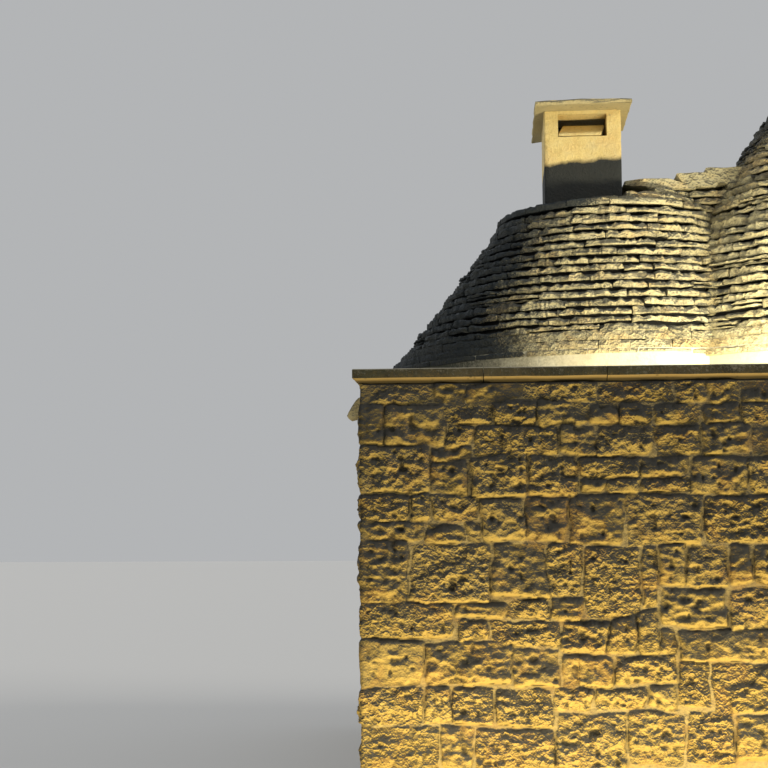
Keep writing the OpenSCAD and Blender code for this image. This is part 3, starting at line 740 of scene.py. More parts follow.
def wall_piece(name, s0, s1, cell, z0=0.0, z1=WALL_H, rise=0.011):
    corners = [c for c in (0.0, W, W + D, 2 * W + D, PERIM) if s0 + 1e-6 < c < s1 - 1e-6]
    S, last = [], s0
    for c in corners + [s1]:
        n = max(2, int(round((c - last) / cell)))
        S.extend(np.linspace(last, c, n + 1)[:-1])
        last = c
    S = np.array(S + [s1])
    Z = np.linspace(z0, z1, max(2, int(round((z1 - z0) / rise))) + 1)
    h, tint, joint, cavity_shade, chip = wall_relief(S, Z, max(cell, rise))
    x, y, nx, ny = wrap_point(S)
    ns, nz = len(S), len(Z)
    P = np.empty((ns, nz, 3))
    P[:, :, 0] = x[:, None] + nx[:, None] * h
    P[:, :, 1] = y[:, None] + ny[:, None] * h
    P[:, :, 2] = Z[None, :]
    back = np.empty((ns, 2, 3))
    back[:, :, 0] = (x - 0.03 * nx)[:, None]
    back[:, :, 1] = (y - 0.03 * ny)[:, None]
    back[:, 0, 2], back[:, 1, 2] = Z[0], Z[-1]
    idx = np.arange(ns * nz).reshape(ns, nz)
    a, b = idx[:-1, :-1].ravel(), idx[1:, :-1].ravel()
    c, d = idx[1:, 1:].ravel(), idx[:-1, 1:].ravel()
    faces = np.stack([a, b, c, d], 1).tolist()
    base = ns * nz
    bl = [base + 2 * j for j in range(ns)]
    bt = [base + 2 * j + 1 for j in range(ns)]
    for j in range(ns - 1):
        faces.append([bl[j + 1], bl[j], bt[j], bt[j + 1]])
        faces.append([int(idx[j + 1, 0]), int(idx[j, 0]), bl[j], bl[j + 1]])
        faces.append([int(idx[j, -1]), int(idx[j + 1, -1]), bt[j + 1], bt[j]])
    faces.append([bl[0]] + [int(v) for v in idx[0, :]] + [bt[0]])
    faces.append([bt[-1]] + [int(v) for v in idx[-1, ::-1]] + [bl[-1]])
    B = Build()
    verts = np.concatenate([P.reshape(-1, 3), back.reshape(-1, 3)])
    pad = np.zeros(2 * ns)
    B.add(verts, faces, np.concatenate([tint.ravel(), pad + 0.5]), np.concatenate([cavity_shade.ravel(), pad]),
          np.concatenate([joint.ravel(), pad + 1]), np.concatenate([chip.ravel(), pad]))
    return B.object(name, M_WALL, smooth=True)


SC = 1.0
wall_piece("wall_stones_front_corner", -0.34, 1.175, 0.0072 * SC, rise=0.0076 * SC)
wall_piece("wall_stones_front_middle", 1.175, 2.69, 0.0072 * SC, rise=0.0076 * SC)
wall_piece("wall_stones_over_door", 2.69, 4.00, 0.012 * SC, z0=2.17, rise=0.011 * SC)
wall_piece("wall_stones_front_right", 4.00, W + 0.34, 0.0135 * SC, rise=0.0125 * SC)
wall_piece("wall_stones_right", W + 0.34, W + D - 0.34, 0.0180 * SC, rise=0.0145 * SC)
wall_piece("wall_stones_back", W + D - 0.34, 2 * W + D + 0.34, 0.0195 * SC, rise=0.0150 * SC)
wall_piece("wall_stones_left", 2 * W + D + 0.34, PERIM - 0.34, 0.0165 * SC, rise=0.0140 * SC)


# ---------------------------------------------------------------- roof slabs
def ragged(rng, s, cell, amp):
    """Broken line along s: straight pieces about cell long, amp high."""
    span = max(float(s[-1] - s[0]), 1e-6)
    m = max(2, int(math.ceil(span / cell)) + 1)
    k = np.linspace(0, 1, m)
    if m > 2:
        k[1:-1] += rng.uniform(-0.35, 0.35, m - 2) / (m - 1)
    return np.interp((s - s[0]) / span, k, rng.normal(0, amp, m))


def slab_on_path(B, pos, s0, s1, z, t, depth, rng, jut=0.0, seg=0.022, rough=1.0, droop=0.010, tint=None):
    """One thin split slab whose outer edge follows pos(s) -> x, y, nx, ny between s0 and s1, its bottom at z."""
    n = max(4, int(math.ceil((s1 - s0) / seg)))
    s = np.linspace(s0, s1, n + 1)
    x, y, nx, ny = pos(s)
    near = np.minimum(s - s0, s1 - s)
    face = jut + ragged(rng, s, 0.13, 0.0045 * rough) + ragged(rng, s, 0.045, 0.0034 * rough) + rng.normal(0, 0.0016 * rough, n + 1)
    face = face - rng.uniform(0.1, 1.0) * 0.008 * rough * np.exp(-near / 0.008)
    face = np.clip(face, -0.034, 0.020)
    under = np.clip(np.abs(ragged(rng, s, 0.060, 0.0050 * rough)) + 0.001, 0, 0.013)
    over = np.clip(np.abs(ragged(rng, s, 0.048, 0.0100 * rough)) + 0.002, 0, 0.024)
    zb = z + ragged(rng, s, 0.14, 0.0026 * rough) + ragged(rng, s, 0.045, 0.0022 * rough)
    bite = np.abs(ragged(rng, s, 0.11, 0.0070 * rough)) + np.abs(ragged(rng, s, 0.030, 0.0088 * rough))
    bite = bite + rng.uniform(0, 1) * 0.008 * rough * np.exp(-near / 0.014)
    zt = np.clip(z + t + 0.003 * rough - bite, zb + 0.40 * t, z + t + 0.003)
    th = zt - zb
    prof = [
        (-depth + 0 * s, zb + droop),
        (face - 0.050, zb + 0.3 * droop),
        (face - under, zb),
        (face + ragged(rng, s, 0.050, 0.0032 * rough), zb + rng.uniform(0.22, 0.38) * th),
        (face + ragged(rng, s, 0.055, 0.0036 * rough) - 0.001, zb + rng.uniform(0.62, 0.80) * th),
        (face - over, zt),
        (face - 0.050, np.maximum(zt, z + 0.80 * t) + 0.15 * droop),
        (-depth + 0 * s, z + t + droop),
    ]
    m = len(prof)
    V = np.empty((n + 1, m, 3))
    for q, (rr, zz) in enumerate(prof):
        V[:, q, 0] = x + nx * rr
        V[:, q, 1] = y + ny * rr
        V[:, q, 2] = zz
    # painted shade: the slab's back, underside, bitten top edge and recessed face go dark, as the gaps between courses
    cav = np.tile(np.array([1.0, 1.0, 0.20, 0.0, 0.0, 0.35, 1.0, 1.0]), (n + 1, 1))
    cav[:, 2] = np.clip(0.10 + under / 0.03, 0, 1)
    cav[:, 5] = np.clip(0.15 + bite / 0.022, 0, 1)
    cav[:, 3:5] = np.clip(-(face - jut)[:, None] / 0.020, 0, 0.8)
    faces = []
    for j in range(n):
        for q in range(m):
            p = (q + 1) % m
            faces.append([j * m + p, (j + 1) * m + p, (j + 1) * m + q, j * m + q])
    faces.append([q for q in range(m)])
    faces.append([n * m + q for q in range(m)][::-1])
    B.add(V.reshape(-1, 3), faces, rng.uniform(0, 1) if tint is None else tint, cav.ravel())


def circle_path(cx, cy, R):
    def pos(s):
        a = s / R
        return cx + R * np.cos(a), cy + R * np.sin(a), np.cos(a), np.sin(a)
    return pos


def inside_main(x, y, z, margin=0.0):
    return math.hypot(x - MAIN_X, y - CY) < MAIN_R - MAIN_K * (z - Z_CONE) - margin


def inside_small(x, y, z, margin=0.0):
    return z < Z_TOP and math.hypot(x - SMALL_X, y - CY) < SMALL_R - SMALL_K * (z - Z_CONE) - margin


def course_radius(R0, K, zm):
    """Radius of a course's face: the roof's outline less the slabs' overhang, spreading a little at the foot."""
    return R0 - K * (zm - Z_CONE) - 0.022 + 0.020 * math.exp(-max(zm - Z_CONE - 0.03, 0.0) / 0.09)


def cut_back(a, b, R, cx, z, hidden):
    """The part of a slab's edge between a and b that isn't deep inside the other roof."""
    def deep(q):
        return hidden(cx + R * math.cos(q / R), CY + R * math.sin(q / R), z)
    while b - a > 0.08 and deep(a):
        a += 0.02
    while b - a > 0.08 and deep(b):
        b -= 0.02
    return a, b


def cone_courses(B, cx, R0, K, z0, z1, seed, hidden, seg, pitch=(0.056, 0.067), low_w=0.17, high_w=0.62):
    rng = np.random.default_rng(seed)
    z = z0
    while z < z1 - 0.02:
        p = rng.uniform(*pitch)
        if z1 - z - p < 0.03:
            p = z1 - z
        foot = z + p / 2 - Z_CONE < 0.15
        gap = rng.uniform(0.003, 0.006) if foot else rng.uniform(0.009, 0.016)
        t = p - gap
        R = course_radius(R0, K, z + p / 2)
        L = 2 * math.pi * R
        pos = circle_path(cx, CY, R)
        s = rng.uniform(0, 0.5)
        end = s + L
        while s < end - 1e-6:
            w = rng.uniform(low_w, high_w) * (1.35 if foot else 1.0)
            w = min(w, L / 5)
            if end - s - w < 0.12:
                w = end - s
            pts = [(cx + R * math.cos(q / R), CY + R * math.sin(q / R)) for q in (s + w * f for f in (0.04, 0.5, 0.96))]
            if not all(hidden(a, b, z + p / 2) for a, b in pts):
                g = rng.uniform(0.001, 0.004)
                way = math.atan2(pts[1][1] - CY, pts[1][0] - cx)
                step = seg(way) * 1
                jut = float(np.clip(rng.normal(0, 0.003 if foot else 0.0080), -0.015, 0.014))
                if math.cos(way) < -0.8:
                    jut *= 0.2
                low = z + rng.normal(0, 0.0015)
                sa, sb = cut_back(s + g, s + w - g, R, cx, z + p / 2, hidden)
                if not foot and rng.random() < 0.09:
                    cut = rng.uniform(0.40, 0.60)
                    slab_on_path(B, pos, sa, sb, low, t * cut - 0.003, 0.14, rng, jut=jut, seg=step, rough=0.8)
                    slab_on_path(B, pos, sa, sb, low + t * cut + 0.001, t * (1 - cut) - 0.002, 0.14, rng,
                                 jut=float(np.clip(jut + rng.normal(0, 0.009), -0.018, 0.014)), seg=step, rough=0.8)
                else:
                    slab_on_path(B, pos, sa, sb, low, t * (1 if foot else rng.uniform(0.88, 1.04)), 0.14, rng,
                                 jut=jut, seg=step, rough=0.40 if foot else (0.8 if math.cos(way) < -0.8 else 1.25))
            s += w
        z += p


def seg_main(a):
    a = math.degrees(a) % 360
    return 0.021 if 195 < a < 262 else 0.040


def seg_small(a):
    a = math.degrees(a) % 360
    return 0.0145 if 185 < a < 312 else 0.036


def seg_coarse(a):
    return 0.040


Z_TIP = Z_CONE + 2.600
B = Build()
cone_courses(B, MAIN_X, MAIN_R, MAIN_K, Z_CONE, 3.62, 501, lambda x, y, z: inside_small(x, y, z, 0.12), seg_main)
# one more course before the lime band, as the main roof starts a little lower
rng = np.random.default_rng(505)
R = 2.014
s = 0.1
while s < 0.1 + 2 * math.pi * R - 1e-6:
    w = rng.uniform(0.25, 0.55)
    if 0.1 + 2 * math.pi * R - s - w < 0.15:
        w = 0.1 + 2 * math.pi * R - s
    if not all(math.hypot(MAIN_X + R * math.cos(q / R) - SMALL_X, R * math.sin(q / R)) < SMALL_BAND - 0.08 for q in (s, s + w)):
        sa, sb = cut_back(s + 0.002, s + w - 0.002, R, MAIN_X, 2.63, lambda x, y, z: math.hypot(x - SMALL_X, y - CY) < SMALL_BAND - 0.08)
        slab_on_path(B, circle_path(MAIN_X, CY, R), sa, sb, 2.612, 0.044, 0.05, rng,
                     jut=float(rng.normal(0, 0.002)), seg=0.035, rough=0.35, droop=0.0)
    s += w
B.object("main_roof_slabs_lower", M_MAIN_PAINTED_LIGHTER, replaces=("main_roof_lower",), angle=20)
B = Build()
cone_courses(B, MAIN_X, MAIN_R, MAIN_K, 3.62, Z_TIP, 502, lambda x, y, z: inside_small(x, y, z, 0.12), seg_main, low_w=0.13, high_w=0.42)
B.object("main_roof_slabs_upper", M_MAIN_PAINTED_LIGHTER, replaces=("main_roof_upper", "main_roof_tip"), angle=20)
B = Build()
cone_courses(B, SMALL_X, SMALL_R, SMALL_K, Z_CONE, Z_TOP, 503, lambda x, y, z: inside_main(x, y, z, 0.12), seg_small)
R = 1.563
for s0, s1, z, t in ((-88, -76.5, 2.634, 0.022), (-76, -66, 2.624, 0.032), (-99, -88.3, 2.630, 0.026), (-113, -99.3, 2.627, 0.029),
                     (-126, -113.3, 2.628, 0.028), (-141, -126.3, 2.626, 0.030), (-155, -141.3, 2.628, 0.028), (-170, -155.3, 2.627, 0.029),
                     (-184, -170.3, 2.628, 0.028), (-199, -184.3, 2.626, 0.030), (-213, -199.3, 2.628, 0.028)):
    rng = np.random.default_rng(int(900 + s1))
    slab_on_path(B, circle_path(SMALL_X, CY, R), math.radians(s0) * R, math.radians(s1) * R, z, t + (0.006 if s1 <= -88 else 0.0), 0.05, rng, seg=0.03,
                 rough=0.3, droop=0.0)
B.object("small_roof_slabs", M_ROOF, replaces=("small_roof",), angle=20)


def ring_shell(B, cx, R0, K, thick, zs, inset, keep, na=120):
    """Closed dark bedding shell behind the slabs, over the angles where keep is true; its dark is painted shade for the
    gaps between the slabs.
    """
    a = np.linspace(0, 2 * math.pi, na, endpoint=False)
    runs, cur = [], []
    flags = [keep(x) for x in a]
    closed = all(flags)
    if closed:
        runs = [list(range(na))]
    else:
        start = next(i for i in range(na) if flags[i] and not flags[i - 1])
        for q in range(na):
            i = (start + q) % na
            if flags[i]:
                cur.append(i)
            elif cur:
                runs.append(cur)
                cur = []
        if cur:
            runs.append(cur)
    for run in runs:
        m = len(run)
        nz = len(zs)
        V, faces = [], []
        ang = a[run]
        for side in (0, 1):
            for z in zs:
                r = R0 - K * (z - Z_CONE) - (inset if side == 0 else thick)
                rr = r + (0.006 * vnoise(np.cos(ang) * r, np.sin(ang) * r, z, 0.12, 90) if side == 0 else 0)
                V.append(np.stack([cx + rr * np.cos(ang), CY + rr * np.sin(ang), np.full(m, z)], 1))
        V = np.concatenate(V)

        def at(side, k, j):
            return (side * nz + k) * m + (j % m)
        span = m if closed else m - 1
        for j in range(span):
            for k in range(nz - 1):
                faces.append([at(0, k, j), at(0, k, j + 1), at(0, k + 1, j + 1), at(0, k + 1, j)])
                faces.append([at(1, k, j + 1), at(1, k, j), at(1, k + 1, j), at(1, k + 1, j + 1)])
            faces.append([at(0, nz - 1, j), at(0, nz - 1, j + 1), at(1, nz - 1, j + 1), at(1, nz - 1, j)])
            faces.append([at(0, 0, j + 1), at(0, 0, j), at(1, 0, j), at(1, 0, j + 1)])
        if not closed:
            for j, flip in ((0, False), (m - 1, True)):
                for k in range(nz - 1):
                    f = [at(0, k, j), at(0, k + 1, j), at(1, k + 1, j), at(1, k, j)]
                    faces.append(f[::-1] if flip else f)
        B.add(V, faces, 0.5, 0.6)


B = Build()
ring_shell(B, MAIN_X, MAIN_R, MAIN_K, 0.158, np.linspace(Z_CONE, 4.44, 16), 0.085, lambda a: True)
zt = np.linspace(4.44, Z_TIP - 0.08, 8)
na = 72
a = np.linspace(0, 2 * math.pi, na, endpoint=False)
V, F = [], []
for z in zt:
    r = MAIN_R - MAIN_K * (z - Z_CONE) - 0.075
    V.append(np.stack([MAIN_X + r * np.cos(a), CY + r * np.sin(a), np.full(na, z)], 1))
for k in range(len(zt) - 1):
    for j in range(na):
        q = (j + 1) % na
        F.append([k * na + j, k * na + q, (k + 1) * na + q, (k + 1) * na + j])
F.append(list(range(na))[::-1])
F.append([(len(zt) - 1) * na + j for j in range(na)])
B.add(np.concatenate(V), F, 0.5, 0.6)
B.object("main_roof_bedding", M_BED_PAINTED_SHADE, smooth=False)
B = Build()
ring_shell(B, SMALL_X, SMALL_R, SMALL_K, 0.158, np.linspace(Z_CONE, Z_TOP - 0.004, 12), 0.085,
           lambda a: not inside_main(SMALL_X + 1.1 * math.cos(a), CY + 1.1 * math.sin(a), 3.15, 0.02))
B.object("small_roof_bedding", M_BED_PAINTED_SHADE, smooth=False)


# ---------------------------------------------------------------- lime bands at the roofs' feet
def lime_band(B, cx, R, hidden, edge_room):
    na = 260
    a = np.linspace(0, 2 * math.pi, na, endpoint=False)
    keep = np.array([not hidden(cx + R * math.cos(x), CY + R * math.sin(x)) for x in a])
    prof_n = 9
    if keep.all():
        order, closed = list(range(na)), True
    else:
        start = next(i for i in range(na) if keep[i] and not keep[i - 1])
        order = [(start + q) % na for q in range(na) if keep[(start + q) % na]]
        closed = False
    ang = a[order]
    m = len(order)
    c, s = np.cos(ang), np.sin(ang)
    room = np.array([edge_room(cx + R * math.cos(x), CY + R * math.sin(x), math.cos(x), math.sin(x)) for x in ang])
    foot = np.clip(room, 0.0, 0.13)
    V = []
    for q in range(prof_n):
        f = q / (prof_n - 1)
        z = Z_EAVES + 0.001 + (Z_CONE - Z_EAVES - 0.001) * f
        flare = foot * np.clip(1 - f / 0.42, 0, 1) ** 2
        r = R + 0.007 + flare + 0.0025 * vnoise(c * R, s * R, z, 0.22, 33) + 0.0015 * vnoise(c * R, s * R, z, 0.07, 34)
        V.append(np.stack([cx + r * c, CY + r * s, np.full(m, z)], 1))
    for z in (Z_CONE, Z_EAVES + 0.001):
        r = R - 0.10
        V.append(np.stack([cx + r * c, CY + r * s, np.full(m, z)], 1))
    n = len(V)
    F = []
    span = m if closed else m - 1
    for q in range(n):
        p = (q + 1) % n
        for j in range(span):
            i = (j + 1) % m
            F.append([q * m + j, q * m + i, p * m + i, p * m + j])
    if not closed:
        F.append([q * m for q in range(n)][::1])
        F.append([q * m + m - 1 for q in range(n)][::-1])
    B.add(np.concatenate(V), F, 0.5, 0.0)


def room_to_edge(x, y, nx, ny):
    best = 9.0
    for lim, p, d in ((-0.03, x, nx), (W + 0.03, x, nx), (-0.03, y, ny), (D + 0.03, y, ny)):
        if abs(d) > 1e-6:
            t = (lim - p) / d
            if t > 0:
                best = min(best, t)
    return best if best < 9 else 0.2


B = Build()
lime_band(B, MAIN_X, MAIN_BAND, lambda x, y: math.hypot(x - SMALL_X, y - CY) < SMALL_BAND - 0.05, room_to_edge)
lime_band(B, SMALL_X, SMALL_BAND, lambda x, y: math.hypot(x - MAIN_X, y - CY) < MAIN_BAND - 0.05, room_to_edge)
B.object("lime_bands", M_BAND, smooth=True)

# ---------------------------------------------------------------- cornice
CORNICE_PROFILE = [(0.0, 0.0), (-0.050, 0.040), (-0.050, 0.085)]


def cornice_slab(B, s0, s1, side, seed, mitre0=False, mitre1=False):
    """One cornice slab along a wall: side is front, back, left or right; s runs along it."""
    rng = np.random.default_rng(seed)
    n = max(4, int((s1 - s0) / 0.045))
    s = np.linspace(s0, s1, n + 1)
    drop = -abs(rng.normal(0, 0.0010))
    prof = [(0.35, 0.0), (0.10, 0.0), (0.004, 0.0), (-0.006, 0.004), (-0.024, 0.014), (-0.040, 0.023), (-0.0490, 0.031),
            (-0.0498, 0.050), (-0.0498, 0.0795), (-0.0465, 0.0838), (-0.02, 0.085), (0.10, 0.085), (0.25, 0.085), (0.35, 0.085)]
    m = len(prof)
    V = np.empty((n + 1, m, 3))
    for q, (o, z) in enumerate(prof):
        out = np.full(n + 1, o)
        if o < 0.05:
            wob = 0.0016 * vnoise(s, seed * 1.7, z, 0.10, 11) + 0.0012 * vnoise(s, seed, z * 3, 0.035, 12) + 0.0008
            out = out + np.abs(wob)
            chip = np.clip(vnoise(s, seed * 0.31, 2.0, 0.13, 13) - 0.55, 0, 1) * 0.018
            if 0.07 < z < 0.0851:
                out = out + chip
        zz = z + (0.0008 * vnoise(s, o * 4, seed, 0.11, 14) + drop - 0.0008 if z > 0.07 else 0.0015 * vnoise(s, o, seed, 0.1, 15))
        zz = np.clip(zz, 0.0004, 0.085)
        ss = s.copy()
        if mitre0:
            ss = s0 + (ss - s0) * (s1 - s0 - out) / (s1 - s0) + out
        if mitre1:
            ss = s0 + (ss - s0) * (s1 - out - s0) / (s1 - s0) if not mitre0 else ss
        if side == "front":
            V[:, q, 0], V[:, q, 1] = ss, out
        elif side == "back":
            V[:, q, 0], V[:, q, 1] = W - ss, D - out
        elif side == "right":
            V[:, q, 0], V[:, q, 1] = W - out, ss
        else:
            V[:, q, 0], V[:, q, 1] = out, D - ss
        V[:, q, 2] = WALL_H + zz
    F = []
    for j in range(n):
        for q in range(m):
            p = (q + 1) % m
            F.append([j * m + q, (j + 1) * m + q, (j + 1) * m + p, j * m + p])
    F.append([q for q in range(m)][::-1])
    F.append([n * m + q for q in range(m)])
    F = [f[::-1] for f in F]
    # painted shade: darkest on the underside and the lower bevel next to the wall top, fading up the face, a little on
    # the top towards the roof
    B.add(V.reshape(-1, 3), F, rng.uniform(0.1, 0.9), np.tile(np.array([0.95, 0.95, 0.95, 0.93, 0.84, 0.26, 0, 0.15, 0.05, 0, 0.1, 0.2, 0.3, 0.4]), n + 1))


def cornice_run(B, side, length, seed):
    rng = np.random.default_rng(seed)
    cuts, s = [0.0], 0.0
    while length - s > 1.1:
        s += rng.uniform(0.55, 1.05)
        cuts.append(s)
    cuts.append(length)
    for i in range(len(cuts) - 1):
        a, b = cuts[i], cuts[i + 1]
        first, last = i == 0, i == len(cuts) - 2
        cornice_slab(B, a + (0 if first else 0.0022), b - (0 if last else 0.0022), side, seed * 10 + i, first, last)


B = Build()
for i, (side, length) in enumerate((("front", W), ("right", D), ("back", W), ("left", D))):
    cornice_run(B, side, length, 700 + i)
B.object("cornice_slabs", M_CORNICE, replaces=("cornice_front", "cornice_back", "cornice_left", "cornice_right"), angle=22)

# deck inside the cornice: thin paving, broken round the roofs' feet
B = Build()
rng = np.random.default_rng(41)
y = 0.352
while y < D - 0.36:
    h = min(rng.uniform(0.28, 0.42), D - 0.352 - y)
    if D - 0.352 - y - h < 0.15:
        h = D - 0.352 - y
    x = 0.352
    while x < W - 0.36:
        w = rng.uniform(0.35, 0.65)
        if W - 0.352 - x - w < 0.2:
            w = W - 0.352 - x
        cx_, cy_ = x + w / 2, y + h / 2
        far_main = min(math.hypot(px - MAIN_X, py - CY) for px in (x, x + w) for py in (y, y + h)) > MAIN_BAND - 0.5
        near_small = math.hypot(cx_ - SMALL_X, cy_ - CY) < 0.6
        corners_in = all(min(math.hypot(px - MAIN_X, py - CY) - MAIN_BAND, math.hypot(px - SMALL_X, py - CY) - SMALL_BAND) < -0.03
                         for px in (x, x + w) for py in (y, y + h))
        if not corners_in:
            co, quads = rough_box(x + 0.004, x + w - 0.004, y + 0.004, y + h - 0.004, 2.470, 2.4895, cell=0.09,
                                  edge=0.010, wear=0.003, rough=0.0015, seed=int(1000 * x + 77 * y))
            # no slab reaches over the open foot of the dome
            far = np.maximum(np.hypot(co[:, 0] - MAIN_X, co[:, 1] - CY), 0.01)
            out = np.where(far < 1.56, (1.56 - 0.12 * (1.56 - far)) / far, 1.0)
            co[:, 0] = MAIN_X + (co[:, 0] - MAIN_X) * out
            co[:, 1] = CY + (co[:, 1] - CY) * out
            B.add(co, quads, rng.uniform(0, 1), 0.15)
        x += w
    y += h
B.object("deck_paving", M_DECK, angle=40)

# ---------------------------------------------------------------- small roof's crown and the saddle
SX0, SX1, SY0, SY1 = 1.082, 1.606, 1.765, 2.365
B = Build()
rng = np.random.default_rng(88)
r_top = SMALL_R - SMALL_K * 1.040
for R, z, t, depth in ((r_top - 0.012, 3.700, 0.044, 0.20), (r_top - 0.085, 3.736, 0.034, 0.24), (r_top - 0.27, 3.756, 0.030, 0.24),
                       (r_top - 0.46, 3.768, 0.026, 0.28)):
    L = 2 * math.pi * R
    s = rng.uniform(0, 0.3)
    end = s + L
    while s < end - 1e-6:
        w = min(rng.uniform(0.20, 0.42), L / 5)
        if end - s - w < 0.1:
            w = end - s
        m = s + w / 2
        px, py = SMALL_X + R * math.cos(m / R), CY + R * math.sin(m / R)
        in_stack = SX0 - 0.02 < px < SX1 + 0.02 and SY0 - 0.02 < py < SY1 + 0.02
        if not in_stack and px < 1.90 and not inside_main(px, py, z, 0.1):
            slab_on_path(B, circle_path(SMALL_X, CY, R), s + 0.002, s + w - 0.002, z, t, min(depth, R - 0.05), rng,
                         jut=float(rng.normal(0.0, 0.006)), seg=0.035, rough=0.7, droop=0.012)
        s += w
B.object("small_roof_crown", M_CROWN, replaces=("small_roof_top",), angle=20)


def outline_path(r, hw, sign):
    """Edge of a saddle course on the front (sign -1) or back (+1), from beside the chimney to the main roof."""
    x0, x1 = 1.610, 2.62
    xs = np.linspace(x0, x1, 120)
    half = np.maximum(np.sqrt(np.clip(r * r - (xs - SMALL_X) ** 2, 0, None)), hw)
    pts = np.stack([xs, CY + sign * half], 1)
    seg_ = np.hypot(*np.diff(pts, axis=0).T)
    run = np.concatenate([[0], np.cumsum(seg_)])
    tx, ty = np.gradient(pts[:, 0]), np.gradient(pts[:, 1])
    ln = np.hypot(tx, ty)
    nx, ny = ty / ln * (1 if sign < 0 else -1), -tx / ln * (1 if sign < 0 else -1)

    def pos(s):
        return (np.interp(s, run, pts[:, 0]), np.interp(s, run, pts[:, 1]), np.interp(s, run, nx), np.interp(s, run, ny))
    return pos, run[-1]


B = Build()
rng = np.random.default_rng(91)
for i, (r_i, hw) in enumerate(((0.752, 0.430), (0.684, 0.405), (0.612, 0.380))):
    zc = 3.70 + 0.057 * i
    for sign in (-1, 1):
        pos, L = outline_path(r_i, hw, sign)
        s = 0.215 if i == 2 and sign < 0 else 0.0
        while s < L - 0.02:
            w = rng.uniform(0.18, 0.38)
            if L - s - w < 0.12:
                w = L - s
            px, py, _, _ = pos(np.array([s + 0.03]))
            if not inside_main(float(px[0]), float(py[0]), zc, 0.12):
                slab_on_path(B, pos, s + 0.002, s + w - 0.002, zc + 0.005, 0.044, 0.30, rng,
                             jut=float(rng.normal(-0.002, 0.006)), seg=0.025, rough=0.9, droop=0.004)
            s += w
    # the core behind the saddle slabs gets strong painted shade, showing as shadow between them
    co, quads = rough_box(1.612, 2.45, CY - hw + 0.07, CY + hw - 0.06, zc + 0.003, zc + 0.054, cell=0.05, edge=0.01, wear=0.006, rough=0.004,
                          seed=60 + i)
    B.add(co, quads, 0.2, 0.9)
B.object("saddle_course_slabs", M_ROOF, replaces=("saddle_courses",), angle=20)

B = Build()
# left, right, bottom, top, half width, rise of the pointed left end, how far the left end leans over
for i, (x0, x1, z0, z1, hw, rise, lean_) in enumerate(((1.622, 2.100, 3.869, 3.955, 0.392, 0.046, 0.0), (1.962, 2.250, 3.884, 3.990, 0.380, 0.0, 0.078),
                                                       (2.160, 2.470, 3.902, 4.026, 0.372, 0.0, 0.052))):
    co, quads = rough_box(x0, x1, CY - hw - 0.012, CY + hw + 0.012, z0, z1, cell=0.024, edge=0.010, wear=0.006, rough=0.004, seed=300 + i)
    u = (co[:, 0] - x0) / (x1 - x0)
    low_ = 1 - (co[:, 2] - z0) / (z1 - z0)
    co[:, 2] += low_ * rise * np.clip(1 - u * 2.1, 0, 1)
    if i == 0:
        co[:, 2] -= (1 - low_) * 0.070 * np.clip((u - 0.62) / 0.38, 0, 1)
    co[:, 2] -= (1 - low_) * (0.001 + 0.006 * np.clip(0.10 - u, 0, 1) / 0.10)
    co[:, 2] += (1 - low_) * 0.003 * vnoise(co[:, 0], co[:, 1], 0, 0.15, 310 + i)
    co[:, 2] -= low_ * 0.004 * vnoise(co[:, 0], co[:, 1], 1, 0.07, 330 + i)
    co[:, 0] += lean_ * low_ * np.clip(1 - u * 1.6, 0, 1)
    side = np.sign(co[:, 1] - CY)
    out = np.abs(co[:, 1] - CY) > hw * 0.6
    co[:, 1] += side * out * (0.012 * vnoise(co[:, 0], side, co[:, 2] * 0.3, 0.07, 320 + i) - 0.012 - (0.045 * np.clip(0.25 - u, 0, 1) / 0.25 if i == 0 else 0))
    B.add(co, quads, 0.85 - 0.12 * i)
B.object("saddle_cap_slabs", M_ROOF, replaces=("saddle_ridge_slabs",), angle=26)

# ---------------------------------------------------------------- chimney
Z_HEAD, Z_CAP = 4.220, 4.418


